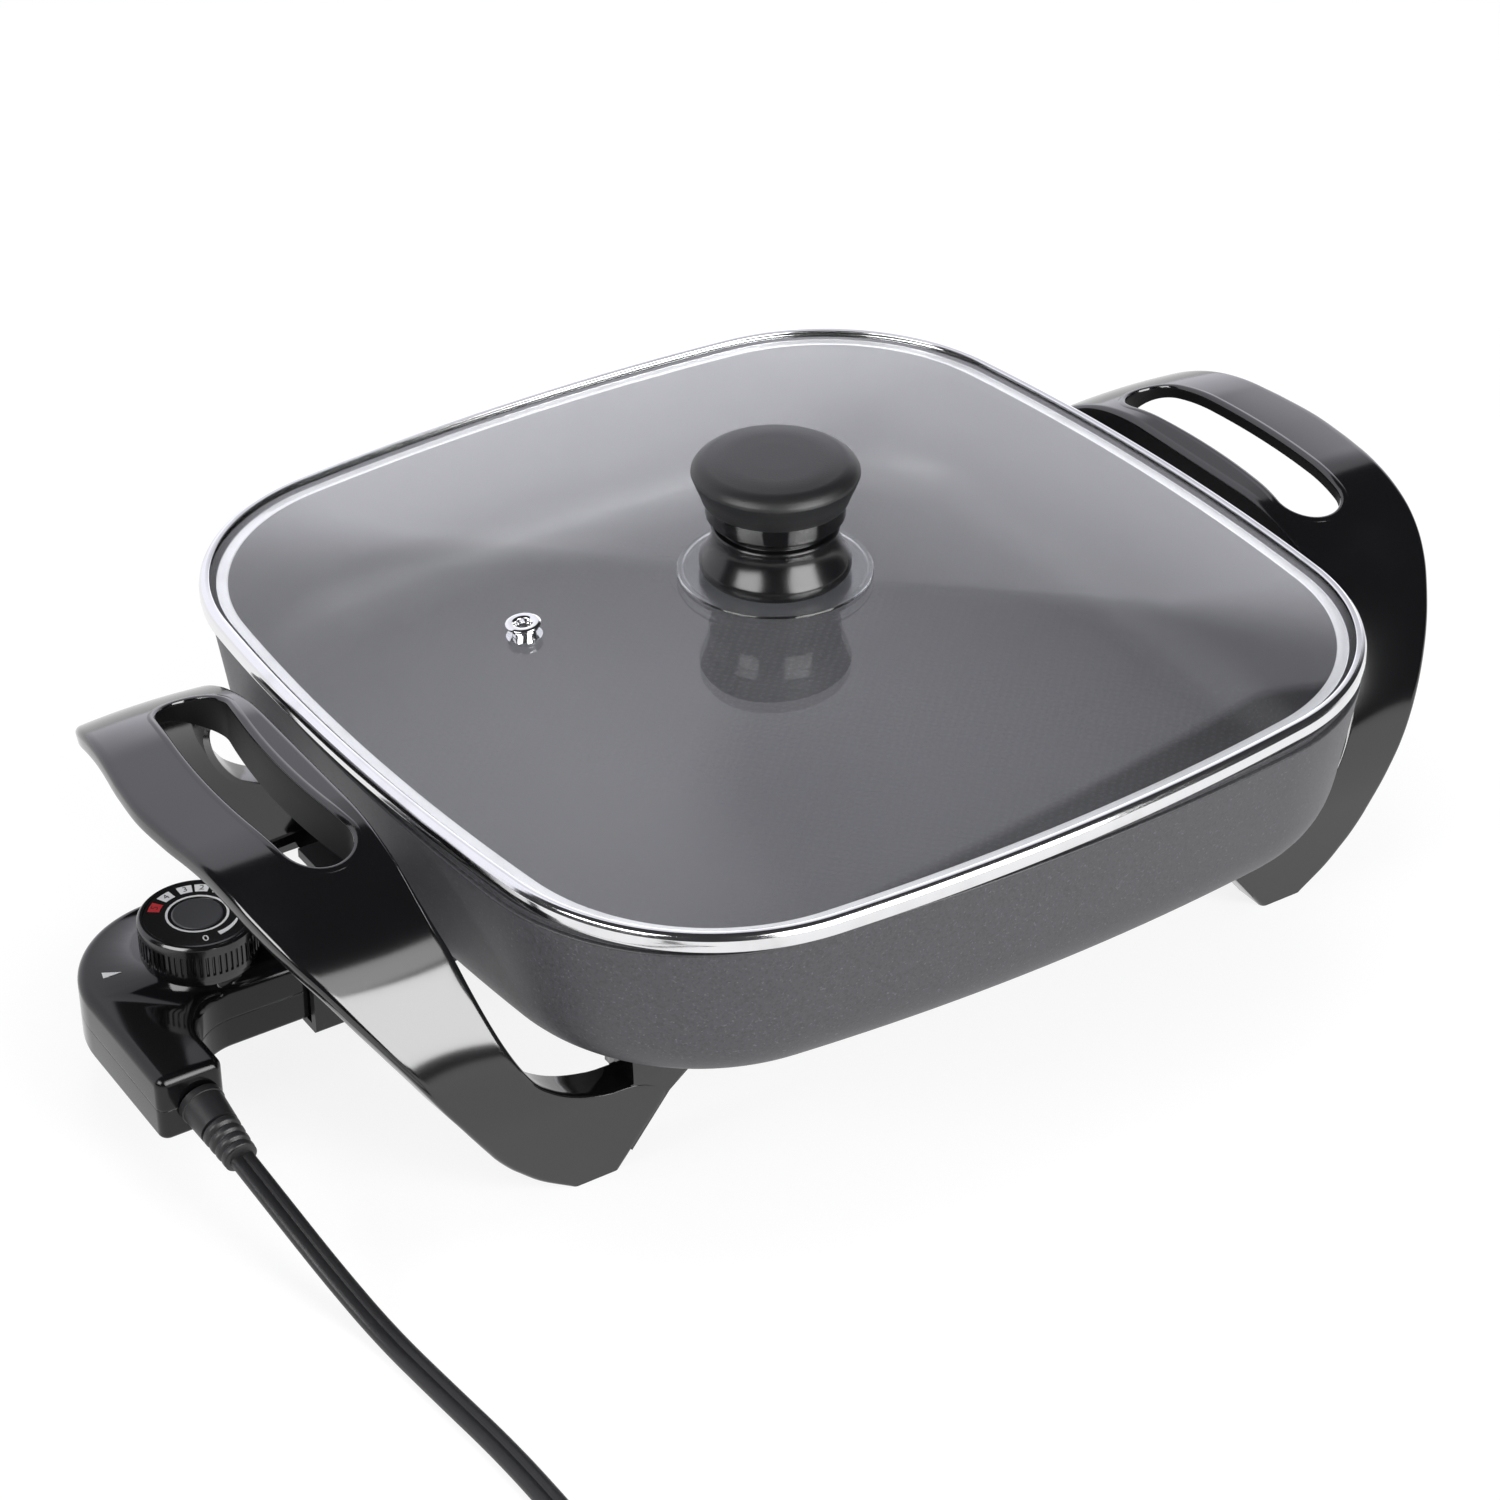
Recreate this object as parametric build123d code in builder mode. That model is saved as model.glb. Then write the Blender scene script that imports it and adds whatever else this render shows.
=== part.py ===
"""Electric skillet: square non-stick pan on two handle arches, lift-off glass lid and plug-in controller.

Millimetres, +Z up. The origin lies on the surface that the skillet stands on, below the middle of the
skillet with its controller plugged in. +X runs from the controller's side to the other handle.
"""

import os
from math import cos, hypot, radians, sin, tan

from build123d import *

# ---- Driving dimensions ------------------------------------------------------------------------

# Pan: a square with bulged sides
pan_half = 151.3            # middle to the outer edge, at the rim
corner_radius = 72.43       # of the rim's outer edge
side_bulge = 4.17           # rise of a side between its corners
pan_underside_z = 43.8
pan_height = 52.3           # up to the outer step of the rim
pan_wall = 3.6
pan_base = 4.5
pan_lip_height = 1.4        # seat of the lid above the step
pan_lip_setback = 1.6
pan_draft = 8.2             # degrees
pan_foot_radius = 22.9
pan_edge_round = 0.7

# Probe boss under the pan, from its mouth inwards
boss_gap = 0.7              # shroud's plate to the mouth
boss_half = 4.6
boss_below_probe = 5.0
boss_end_wall = 3.0
probe_in_boss = 36.0
probe_bore_spare = 3.0

# Heating element
element_radius = 3.3
element_inset = 79.3        # pan's edge to the tube's middle, on each side of its loop
element_corner = 30.0
element_tail = 16.0         # sideways place of the tails beside the boss
element_drop_start = 22.0   # boss mouth to where the tails turn down
element_drop = (13.2, 3.3, 4.29)  # along, sideways and down, to the middle of the slope
element_straight = 7.92     # straight end of a tail
element_tail_bends = (6.0, 8.0, 12.0, 11.0)

# Terminals
terminal_spread = 6.0       # from the probe to each pin
pin_radius = 1.4
pin_behind = 5.0            # from the shroud's back inwards
pin_exposed = 12.0
insulator_proud = 5.0       # from the shroud's back outwards
insulator_radius = 2.4

# Terminal shroud
shroud_inset = 4.3          # pan's edge to the shroud's back
shroud_depth = 23.0
shroud_wall = 2.6
shroud_plate = 3.0
shroud_plate_length = 19.0
shroud_ear_length = 24.0
shroud_ear_inner = 22.0
shroud_ear_outer = 36.0
shroud_screw_inset = 8.0    # from the ear's end
shroud_screw_radius = 1.75
shroud_screw_head = 3.2
shroud_screw_head_height = 2.4

# Handle arches: grips outside the pan's edge
grip_gap = 8.7              # pan's edge to the grip
grip_width = 53.7
arch_rise = 7.3             # top of the grip above the pan's step
arch_inset = 51.3           # arch's sides, in from the pan's sides
arch_radius = 75.0
handle_shell = 3.2
handle_lip = 2.5            # thickness of the skirt round the edge
handle_depth = 12.0         # depth of that skirt
# arch angle from the crown, and how far the outer and inner edges have drawn in there
grip_stations = (
    (0.0, 0.6, 0.0),
    (15.0, 5.0, 0.0),
    (30.0, 10.4, 0.2),
    (45.0, 18.9, 2.6),
    (60.0, 28.2, 5.8),
    (70.0, 34.7, 9.3),
    (80.0, 42.5, 16.2),
)
slot_inset = 20.3           # grip's inner edge to the finger slot's centre line
slot_half_length = 38.5
slot_bend = 3.1
slot_width = 21.0
sleeve_wall = 1.8
sleeve_depth = 15.0

# Legs: each inset is measured in from the pan's edge
foot_inset = 17.3           # outer end of the foot
foot_length = 16.1
belly_out = 6.0             # middle of the outer curve, outside the pan's edge
belly_z = 19.5
heel_inset = 50.2
heel_drop = 5.6             # below the tab
tab_inset = 38.3            # outer end of the tab under the pan
tab_length = 19.0
tab_height = 16.8
shelf_inset = 33.3
shelf_rise = 1.5            # above the tab's lower face
shelf_bend_inset = 17.7
shelf_bend_rise = 3.9
leg_overrun = 5.0

# Handle screws
handle_screw_inset = 8.0    # from the arch's side
handle_block_beyond = 8.0   # block past the screw's middle
handle_screw_radius = 2.5
handle_screw_head = 4.2
handle_screw_head_height = 3.0
handle_washer_radius = 4.6
handle_washer_height = 1.0
handle_screw_web = 8.0      # block left above the counterbore
screw_grip = 3.0            # length of thread in the pan's base

# Lid
lid_turn = 2.2              # degrees that the lid lies turned on the pan
lid_overhang = 0.7          # past the pan's edge
rim_sheet = 0.6
rim_flange = 6.0            # width of the lower flange under the glass
rim_top_flange = 3.4
rim_round = 0.9
glass_thickness = 4.4
glass_edge = 6.6            # flat edge, from the rim's outside to the dome
dome_rise = 9.5
dome_shares = (0.27, 0.55, 0.79)  # where the dome is laid over worked-out points

# Steam vent, in the lid's own turned axes
vent_x = -78.3
vent_y = 18.7
vent_hole = 2.25
vent_tube = 3.6
vent_flange = 5.5
vent_flange_height = 1.6
vent_ring_height = 1.0
vent_lift = 0.25            # flange above the dome's worked-out height

# Knob
seat_radius = 30.0
seat_height = 0.7
knob_foot = 23.2
knob_foot_low = 22.0
knob_foot_height = 3.0
knob_foot_curve = (0.2, 1.4)      # in and up, to the middle of the foot's rounding
knob_waist = 18.9
knob_waist_curve = (1.5, 8.6)     # out from the waist and up, to the middle of the sweep
knob_lip = 19.5
knob_lip_height = 1.6
knob_lip_slope = 0.4
knob_lip_round = (0.4, 0.3)
knob_neck = 17.0
knob_base_height = 15.7
knob_neck_height = 2.5
knob_ring_radius = 21.0
knob_ring_height = 6.4
knob_ring_bevel = 0.8
knob_skirt_flare = 0.5
knob_skirt_height = 4.0
knob_cap_radius = 25.2
knob_cap_rise = 5.5
knob_cap_flank = (1.3, 2.75)      # in and up, to the middle of the cap's flank
knob_dome = 3.6
knob_brim_round = 2.2
knob_brim_rise = 1.6
knob_brim_curve = (0.55, 0.992)   # in and up, to the middle of the brim's rounding
knob_stem = 5.0
knob_stem_depth = 6.0       # into the base
insert_radius = 3.6
insert_height = 8.0
knob_screw_radius = 2.0
knob_screw_head = 4.5
knob_screw_head_height = 2.6
knob_washer_radius = 9.0
knob_washer_height = 1.2

# Controller housing
nose_gap = 2.0              # insulators to the nose's tip
face_gap = 4.0              # shroud's mouth to the flat face
face_to_head = 21.0         # flat face to the middle of the round head
head_radius = 36.5
head_y = 6.0
controller_below = 10.3     # below the parting plane
controller_above = 10.7
controller_wall = 2.2
nose_half = 10.5
arm_width = 20.5
arm_end_y = -39.5
armpit_radius = 16.0
top_round = 3.0
low_round = 1.5
corner_round = 3.0
dial_collar_radius = 16.4
dial_collar_height = 1.8

# Housing screws
far_screw = (6.3, 11.0)     # in from the far side, and from the head's middle along Y
near_screw = (10.0, 6.354)  # in from the flat face and from its end
arm_screw = (5.5, 12.5)     # in from the far side and from the arm's end
housing_boss_radius = 3.0
housing_screw_radius = 1.2
housing_screw_head = 2.2
housing_screw_head_height = 1.5
housing_screw_length = 13.0

# Dial
dial_offset = (0.2, 1.4)    # its axis, from the head's middle
dial_radius = 17.6
dial_flange = 17.0
dial_flange_height = 1.6
dial_height = 13.9
dial_wall = 2.0
dial_bevel = 1.2
dial_hub = 5.4
flute_count = 36
flute_radius = 0.55
flute_low = 2.6
flute_height = 8.6
cap_radius = 7.6
cap_recess = 0.8
cap_proud = 0.15
shaft_radius = 3.0
shaft_into_dial = 8.0
clip_radius = 5.2
clip_height = 0.8
pointer_length = 5.6
pointer_width = 2.8
pointer_height = 0.15
pointer_distance = 23.4     # dial axis to the pointer's tip
pointer_angle = 165.0       # degrees, as seen from the dial

# Thermostat
bracket_setback = 3.0       # behind the flat face
bracket_sheet = 1.2
bracket_length = 34.0
bracket_width = 26.0
bracket_rise = 13.0
bracket_ear_half = 4.0
blade_thickness = 0.4
blade_width = 5.0
blade_length = 30.0
spacer_inset = 1.0
spacer_length = 8.0
spacer_width = 7.0
first_spacer = 3.2
middle_spacer = 2.6
last_spacer = 1.4
point_radius = 1.5
point_height = 1.2
point_inset = 4.0
probe_radius = 2.4
probe_nose_round = 2.16
probe_behind_face = 7.0
sleeve_radius = 2.2
sleeve_beyond_pin = 8.2
pin_bore_spare = 2.0
socket_block_length = 12.0
socket_block_height = 12.0
lead_radius = 0.9
lead_spread = 1.8
lead_rise = 1.0
lead_turn_y = 22.0
lead_turn_rise = 4.3        # above the terminals
lead_turn_setback = 6.0     # behind the flat face
blade_lead_bend = 4.0
pin_lead_bends = (5.0, 5.0, 3.0)

# Strain relief and cord
relief_inset = 12.3         # from the controller's far side
relief_drop = 0.8           # below the parting plane
relief_neck = 5.0
relief_flange = 5.9
relief_flange_height = 2.0
relief_collar = 6.8
relief_collar_length = 2.2
relief_way = (0.8, -23.5, -4.7)   # from its root to its tip
relief_tip_radius = 5.0
relief_root_radius = 6.6
relief_groove = 0.8
relief_groove_count = 4
relief_groove_pitch = 3.0
relief_groove_width = 1.26
relief_collar_overlap = 1.5
cord_width = 7.3
cord_thickness = 4.2
bend_share = 0.45           # of the shorter run, taken by an arc
cord_points = (
    (-216.6, -84.0, 18.2),
    (-213.0, -106.0, 9.4),
    (-209.4, -129.0, 2.5),
    (-207.0, -156.0, 2.3),
    (-204.2, -185.0, 2.3),
    (-203.4, -214.0, 2.3),
    (-203.6, -239.0, 2.4),
    (-204.0, -263.0, 2.6),
)
coil_x = -244.0
coil_y = -263.0
coil_radius = 40.0          # middle of its turns
coil_width = 13.0
coil_height = 11.0
coil_round = 3.5
tail_points = (
    (-244.0, -303.0, 3.4),
    (-258.0, -303.6, 4.2),
    (-273.0, -302.6, 6.6),
    (-288.0, -302.0, 9.0),
)
plug_length = 36.0
plug_width = 25.0
plug_height = 18.0
plug_round = 4.0
plug_boot = 12.0
plug_boot_radius = 6.0
plug_blade_gap = 12.7
plug_blade_length = 16.0
plug_blade_width = 6.3
plug_blade_thickness = 1.5

# Fits and clearances
running_fit = 0.05          # radial, shaft in its hole
screw_fit = 0.05            # radial, screw in its thread
free_fit = 0.3              # radial, screw or tube through a plain hole
turning_gap = 0.3           # dial above the collar
glass_play = 0.2
seat_play = 0.1
probe_passage = 0.6         # radial, probe through the shroud's back
shroud_play = 0.9           # beside the controller's nose
shroud_play_below = 1.2
shroud_play_above = 1.4

# ---- Places worked out from them: distances are from the pan's middle, heights from the floor -----

core_half = pan_half - corner_radius - side_bulge
core_reach = core_half + side_bulge
pan_ledge_z = pan_underside_z + pan_height
pan_lip_z = pan_ledge_z + pan_lip_height
pan_floor_z = pan_underside_z + pan_base

grip_inner = pan_half + grip_gap
handle_reach = grip_inner + grip_width
slot_middle = grip_inner + slot_inset
arch_half = pan_half - arch_inset
arch_crown = arch_half - arch_radius
arch_top_z = pan_ledge_z + arch_rise
arch_spring_z = arch_top_z - arch_radius

tab_low_z = pan_underside_z - tab_height
shelf_z = tab_low_z + shelf_rise
foot_outer = pan_half - foot_inset
foot_inner = foot_outer - foot_length
leg_belly = (pan_half + belly_out, belly_z)
leg_heel = (pan_half - heel_inset, tab_low_z - heel_drop)
tab_outer = pan_half - tab_inset
tab_inner = tab_outer - tab_length
shelf_start = pan_half - shelf_inset
shelf_bend = (pan_half - shelf_bend_inset, shelf_z + shelf_bend_rise)
handle_screw_x = (tab_inner + tab_outer) / 2
handle_screw_y = arch_half - handle_screw_inset
block_inner_y = handle_screw_y - handle_block_beyond

terminal_z = pan_underside_z - shroud_plate - shroud_play_above - controller_above
shroud_back = pan_half - shroud_inset
shroud_mouth = shroud_back + shroud_depth
shroud_half = nose_half + shroud_play + shroud_wall
shroud_ear_root = shroud_back - shroud_plate_length
shroud_ear_end = shroud_ear_root - shroud_ear_length
shroud_screw_x = shroud_ear_end + shroud_screw_inset
insulator_tip = shroud_back + insulator_proud
pin_root = shroud_back - pin_behind
pin_tip = insulator_tip + pin_exposed

boss_near = shroud_ear_root - shroud_wall / 2 - boss_gap
probe_tip = boss_near - probe_in_boss
probe_bore_depth = probe_in_boss + probe_bore_spare
boss_length = probe_bore_depth + boss_end_wall
element_half = pan_half - element_inset
element_z = pan_underside_z - element_radius
element_tail_end = boss_near - element_drop_start

lid_half = pan_half + lid_overhang
dome_half = lid_half - glass_edge
rim_height = glass_thickness + 2 * rim_sheet + glass_play
glass_z = pan_lip_z + rim_sheet
glass_top_z = glass_z + glass_thickness + dome_rise
seat_z = glass_top_z + seat_play
knob_z = seat_z + seat_height
knob_lip_z = knob_z + knob_base_height
knob_ring_z = knob_lip_z + knob_neck_height
knob_top_z = knob_ring_z + knob_ring_height

nose_tip = insulator_tip + nose_gap
controller_face = shroud_mouth + face_gap
head_x = -controller_face - face_to_head
controller_reach = head_radius - head_x
face_y = head_y + (head_radius**2 - face_to_head**2) ** 0.5
armpit_x = arm_width - controller_reach
controller_low_z = terminal_z - controller_below
controller_top_z = terminal_z + controller_above
inner_floor_z = controller_low_z + controller_wall
inner_roof_z = controller_top_z - controller_wall
shroud_floor_z = controller_low_z - shroud_play_below - shroud_wall
screw_places = [
    (far_screw[0] - controller_reach, head_y + far_screw[1]),
    (-controller_face - near_screw[0], face_y - near_screw[1]),
    (arm_screw[0] - controller_reach, arm_end_y + arm_screw[1]),
]

dial_x = head_x + dial_offset[0]
dial_y = head_y + dial_offset[1]
dial_low_z = controller_top_z + dial_collar_height + turning_gap
dial_top_z = dial_low_z + dial_height
probe_root = controller_face + probe_behind_face
sleeve_end = pin_tip + sleeve_beyond_pin
relief_x = relief_inset - controller_reach
relief_z = terminal_z - relief_drop

pan_x = (controller_reach - handle_reach) / 2


def level(z):
    """Plane at height z, centred on the pan."""
    return Plane(origin=(pan_x, 0, z))


def lid_level(z):
    """Plane at height z, centred on the pan and turned with the lid."""
    turned = (cos(radians(lid_turn)), sin(radians(lid_turn)), 0)
    return Plane(origin=(pan_x, 0, z), x_dir=turned, z_dir=(0, 0, 1))


def side(y):
    """Upright plane along X at y: its own x is distance from the pan's middle, its y is height."""
    return Plane(origin=(pan_x, y, 0), x_dir=(1, 0, 0), z_dir=(0, -1, 0))


def across(x):
    """Upright plane along Y at x from the pan's middle: its own x is Y, its y is height."""
    return Plane(origin=(pan_x + x, 0, 0), x_dir=(0, 1, 0), z_dir=(1, 0, 0))


def upright(x, y):
    """Upright line through x, y from the pan's middle."""
    return Axis((pan_x + x, y, 0), (0, 0, 1))


def rounded_square(half, plane):
    """The skillet's outline: a square with bulged sides, half wide from middle to side."""
    with BuildSketch(plane) as shape:
        with BuildLine():
            for quarter in range(4):
                side_points = [
                    Vector(*point).rotate(Axis.Z, 90 * quarter)
                    for point in ((core_half, -core_half, 0), (core_reach, 0, 0), (core_half, core_half, 0))
                ]
                ThreePointArc(*side_points)
        make_face()
        offset(amount=half - core_reach)
    return shape.sketch


def disc(radius, plane, places=((0, 0),)):
    """Circles of one radius at places on a plane."""
    with BuildSketch(plane) as shape:
        with Locations(*places):
            Circle(radius)
    return shape.sketch


def save(part, name):
    """Label a finished piece and write it."""
    part.label = name
    export_step(part, f"parts/{name}.step")


os.makedirs("parts", exist_ok=True)

# ---- Pan -----------------------------------------------------------------------------------------

screw_corners = [(sx * handle_screw_x, sy * handle_screw_y) for sx in (-1, 1) for sy in (-1, 1)]
shroud_screws_at = [(-shroud_screw_x, sy * (shroud_ear_inner + shroud_ear_outer) / 2) for sy in (-1, 1)]
inner_half = pan_half - pan_wall + pan_lip_height * tan(radians(pan_draft))

with BuildPart() as cavity:
    extrude(rounded_square(inner_half, level(pan_lip_z)), amount=pan_floor_z - pan_lip_z, taper=pan_draft)
    fillet(cavity.edges().group_by(Axis.Z)[0], radius=pan_foot_radius - pan_wall)

with BuildPart() as pan:
    extrude(rounded_square(pan_half, level(pan_ledge_z)), amount=-pan_height, taper=pan_draft)
    fillet(pan.edges().group_by(Axis.Z)[0], radius=pan_foot_radius)
    fillet(pan.edges().group_by(Axis.Z)[-1], radius=pan_edge_round)
    extrude(rounded_square(pan_half - pan_lip_setback, level(pan_ledge_z)), amount=pan_lip_height)
    add(cavity.part, mode=Mode.SUBTRACT)
    with BuildSketch(across(-boss_near)):
        boss_low = terminal_z - boss_below_probe
        boss_top = pan_underside_z + pan_base / 2
        with Locations((0, (boss_low + boss_top) / 2)):
            RectangleRounded(2 * boss_half, boss_top - boss_low, pan_edge_round)
    extrude(amount=boss_length)
    extrude(
        disc(probe_radius + running_fit, across(-boss_near), [(0, terminal_z)]),
        amount=probe_bore_depth,
        mode=Mode.SUBTRACT,
    )
    extrude(
        disc(handle_screw_radius + screw_fit, level(pan_underside_z), screw_corners),
        amount=screw_grip + free_fit,
        mode=Mode.SUBTRACT,
    )
    extrude(
        disc(shroud_screw_radius + screw_fit, level(pan_underside_z), shroud_screws_at),
        amount=screw_grip + free_fit,
        mode=Mode.SUBTRACT,
    )
save(pan.part, "pan")

# ---- Heating element and terminals ---------------------------------------------------------------

element_half_path = (
    (-pin_root, terminal_spread, terminal_z),
    (-pin_root + element_straight, terminal_spread, terminal_z),
    (-element_tail_end - element_drop[0], element_tail - element_drop[1], element_z - element_drop[2]),
    (-element_tail_end, element_tail, element_z),
    (-element_half, element_tail, element_z),
    (-element_half, element_half, element_z),
    (element_half, element_half, element_z),
)
element_path = [Vector(pan_x + x, y, z) for x, y, z in element_half_path]
element_path += [Vector(pan_x + x, -y, z) for x, y, z in reversed(element_half_path)]
element_bends = [*element_tail_bends, element_corner, element_corner]

with BuildPart() as heating_element:
    with BuildLine():
        FilletPolyline(*element_path, radius=element_bends + element_bends[::-1])
    with BuildSketch(Plane(origin=element_path[0], z_dir=(1, 0, 0))):
        Circle(element_radius)
    sweep()
save(heating_element.part, "heating_element")

terminal_places = [(sy * terminal_spread, terminal_z) for sy in (-1, 1)]

with BuildPart() as terminal_pins:
    extrude(disc(pin_radius, across(-pin_tip), terminal_places), amount=pin_tip - pin_root)
    chamfer(terminal_pins.faces().group_by(Axis.X)[0].edges(), length=pin_radius / 3)
save(terminal_pins.part, "terminal_pins")

with BuildPart() as pin_insulators:
    extrude(disc(insulator_radius, across(-insulator_tip), terminal_places), amount=insulator_tip - pin_root)
    extrude(
        disc(pin_radius + running_fit, across(-insulator_tip), terminal_places),
        amount=insulator_tip - pin_root,
        mode=Mode.SUBTRACT,
    )
save(pin_insulators.part, "pin_insulators")

# ---- Terminal shroud -----------------------------------------------------------------------------

shroud_top_z = pan_underside_z
shroud_length = shroud_mouth - shroud_back

with BuildPart() as terminal_shroud:
    with BuildSketch(across(-shroud_mouth)):
        with Locations((0, (shroud_floor_z + shroud_top_z) / 2)):
            RectangleRounded(2 * shroud_half, shroud_top_z - shroud_floor_z, shroud_wall / 2)
    extrude(amount=shroud_length)
    with BuildSketch(across(-shroud_mouth)):
        shroud_inner_top = shroud_top_z - shroud_plate
        shroud_inner_low = shroud_floor_z + shroud_wall
        with Locations((0, (shroud_inner_low + shroud_inner_top) / 2)):
            Rectangle(2 * (shroud_half - shroud_wall), shroud_inner_top - shroud_inner_low)
    extrude(amount=shroud_length - shroud_wall, mode=Mode.SUBTRACT)
    with BuildSketch(level(shroud_top_z)):
        with Locations((-(shroud_back + shroud_ear_root) / 2, 0)):
            Rectangle(shroud_back - shroud_ear_root + shroud_wall, 2 * shroud_ear_outer)
        ear_x = -(shroud_ear_root + shroud_ear_end) / 2
        ear_y = (shroud_ear_inner + shroud_ear_outer) / 2
        with Locations((ear_x, -ear_y), (ear_x, ear_y)):
            Rectangle(shroud_ear_root - shroud_ear_end + shroud_wall, shroud_ear_outer - shroud_ear_inner)
    extrude(amount=-shroud_plate)
    extrude(
        disc(insulator_radius + running_fit, across(-shroud_mouth), terminal_places),
        amount=shroud_length,
        mode=Mode.SUBTRACT,
    )
    extrude(
        disc(probe_radius + probe_passage, across(-shroud_mouth), [(0, terminal_z)]),
        amount=shroud_length,
        mode=Mode.SUBTRACT,
    )
    extrude(
        disc(shroud_screw_radius + free_fit, level(shroud_top_z), shroud_screws_at),
        amount=-shroud_plate,
        mode=Mode.SUBTRACT,
    )
save(terminal_shroud.part, "terminal_shroud")

with BuildPart() as shroud_screws:
    extrude(disc(shroud_screw_radius, level(shroud_top_z - shroud_plate), shroud_screws_at),
            amount=shroud_plate + screw_grip)
    extrude(disc(shroud_screw_head, level(shroud_top_z - shroud_plate), shroud_screws_at),
            amount=-shroud_screw_head_height)
save(shroud_screws.part, "shroud_screws")

# ---- Handles -------------------------------------------------------------------------------------


def grip_plane(angle, way=1):
    """Plane across the arch at an angle from its crown: its x is reach, its y is depth into the arch."""
    rise = arch_radius * cos(radians(angle))
    run = arch_radius * sin(radians(angle))
    along = (0, rise, -way * run)
    return Plane(origin=(pan_x, way * (arch_crown + run), arch_spring_z + rise), x_dir=(1, 0, 0), z_dir=along)


def grip(margin, shallow, deep):
    """The grip from leg to leg, between two depths below its outer face, drawn in by a margin."""
    stations = [(grip_plane(angle, -1), outer, inner) for angle, outer, inner in reversed(grip_stations)]
    stations += [(Plane(origin=(pan_x, 0, arch_top_z), x_dir=(1, 0, 0), z_dir=(0, 1, 0)), 0.0, 0.0)]
    stations += [(grip_plane(angle), outer, inner) for angle, outer, inner in grip_stations]
    with BuildPart() as strip:
        for plane, outer, inner in stations:
            far = handle_reach - outer - margin
            near = grip_inner - inner + margin
            with BuildSketch(plane):
                with Locations(((far + near) / 2, (shallow + deep) / 2)):
                    Rectangle(far - near, deep - shallow)
        loft()
    return strip.part


def arch_band(plane, shallow, deep):
    """Half of the arch from its crown to the floor, between two depths below its outer face."""
    with BuildSketch(plane) as band:
        for depth, mode in ((shallow, Mode.ADD), (deep, Mode.SUBTRACT)):
            with BuildLine():
                CenterArc((arch_crown, arch_spring_z), arch_radius - depth, 0, 90)
                Polyline(
                    (arch_crown, arch_top_z - depth),
                    (0, arch_top_z - depth),
                    (0, 0),
                    (arch_half - depth, 0),
                    (arch_half - depth, arch_spring_z),
                )
            make_face(mode=mode)
    return band.sketch


def leg_outline(margin):
    """The leg seen along Y, with the tab under the pan, drawn in by a margin."""
    angle, outer, inner = grip_stations[-1]
    hip_z = arch_spring_z + arch_radius * cos(radians(angle))
    hip_outer = handle_reach - outer
    hip_inner = grip_inner - inner
    with BuildSketch(side(0)) as outline:
        with BuildLine():
            ThreePointArc((hip_outer, hip_z), leg_belly, (foot_outer, 0))
            Polyline(
                (foot_outer, 0),
                (foot_inner, 0),
                leg_heel,
                (tab_inner, tab_low_z),
                (tab_inner, pan_underside_z),
                (tab_outer, pan_underside_z),
                (tab_outer, shelf_z),
                (shelf_start, shelf_z),
            )
            ThreePointArc((shelf_start, shelf_z), shelf_bend, (hip_inner, hip_z))
            Polyline(
                (hip_inner, hip_z),
                (hip_inner + leg_overrun / 2, hip_z + leg_overrun),
                (hip_outer + leg_overrun / 2, hip_z + leg_overrun),
                (hip_outer, hip_z),
            )
        make_face()
        if margin:
            offset(amount=-margin, kind=Kind.INTERSECTION)
    return outline.sketch


def leg(margin, shallow, deep):
    """One leg with its tab, between two depths, drawn in by a margin."""
    with BuildPart() as piece:
        extrude(arch_band(across(tab_inner), shallow, deep), amount=handle_reach - tab_inner)
        extrude(leg_outline(margin), amount=-arch_half, mode=Mode.INTERSECT)
        split(bisect_by=grip_plane(grip_stations[-1][0]), keep=Keep.TOP)
    return piece.part


block_low_z = pan_underside_z - handle_screw_web
slot_ends = [
    (slot_middle - slot_bend, -slot_half_length),
    (slot_middle, 0),
    (slot_middle - slot_bend, slot_half_length),
]


def slot(width, low, height):
    """Bar with the finger slot's banana outline."""
    with BuildPart() as bar:
        with BuildSketch(level(low)):
            with BuildLine():
                centre_line = ThreePointArc(*slot_ends)
            SlotArc(centre_line, height=width)
        extrude(amount=height)
    return bar.part


with BuildPart() as sleeve:
    add(slot(slot_width + 2 * sleeve_wall, arch_top_z - sleeve_depth, sleeve_depth))
    with BuildSketch(across(tab_inner)):
        add(arch_band(Plane.XY, 0, handle_depth + sleeve_depth))
        mirror(about=Plane.YZ)
    extrude(amount=handle_reach, mode=Mode.INTERSECT)

with BuildPart() as right_leg:
    add(leg(0, 0, handle_depth))
    add(leg(handle_lip, handle_shell, handle_depth + handle_lip), mode=Mode.SUBTRACT)
    with BuildSketch(level(tab_low_z)):
        with Locations(((tab_inner + tab_outer) / 2, (block_inner_y + arch_half - handle_shell) / 2)):
            Rectangle(tab_outer - tab_inner, arch_half - handle_shell - block_inner_y)
    extrude(amount=pan_underside_z - tab_low_z)
    screw_place = [(handle_screw_x, handle_screw_y)]
    counterbore = disc(handle_washer_radius + free_fit, level(0), screw_place)
    extrude(counterbore, amount=block_low_z, mode=Mode.SUBTRACT)
    screw_hole = disc(handle_screw_radius + free_fit, level(0), screw_place)
    extrude(screw_hole, amount=pan_underside_z, mode=Mode.SUBTRACT)

with BuildPart() as handle_right:
    add(grip(0, 0, handle_depth))
    add(grip(handle_lip, handle_shell, handle_depth + handle_lip), mode=Mode.SUBTRACT)
    add(right_leg.part)
    mirror(right_leg.part, about=Plane.XZ)
    add(sleeve.part)
    add(slot(slot_width, 0, arch_top_z + handle_shell), mode=Mode.SUBTRACT)
save(handle_right.part, "handle_right")

with BuildPart() as handle_left:
    mirror(handle_right.part, about=across(0))
save(handle_left.part, "handle_left")

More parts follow.
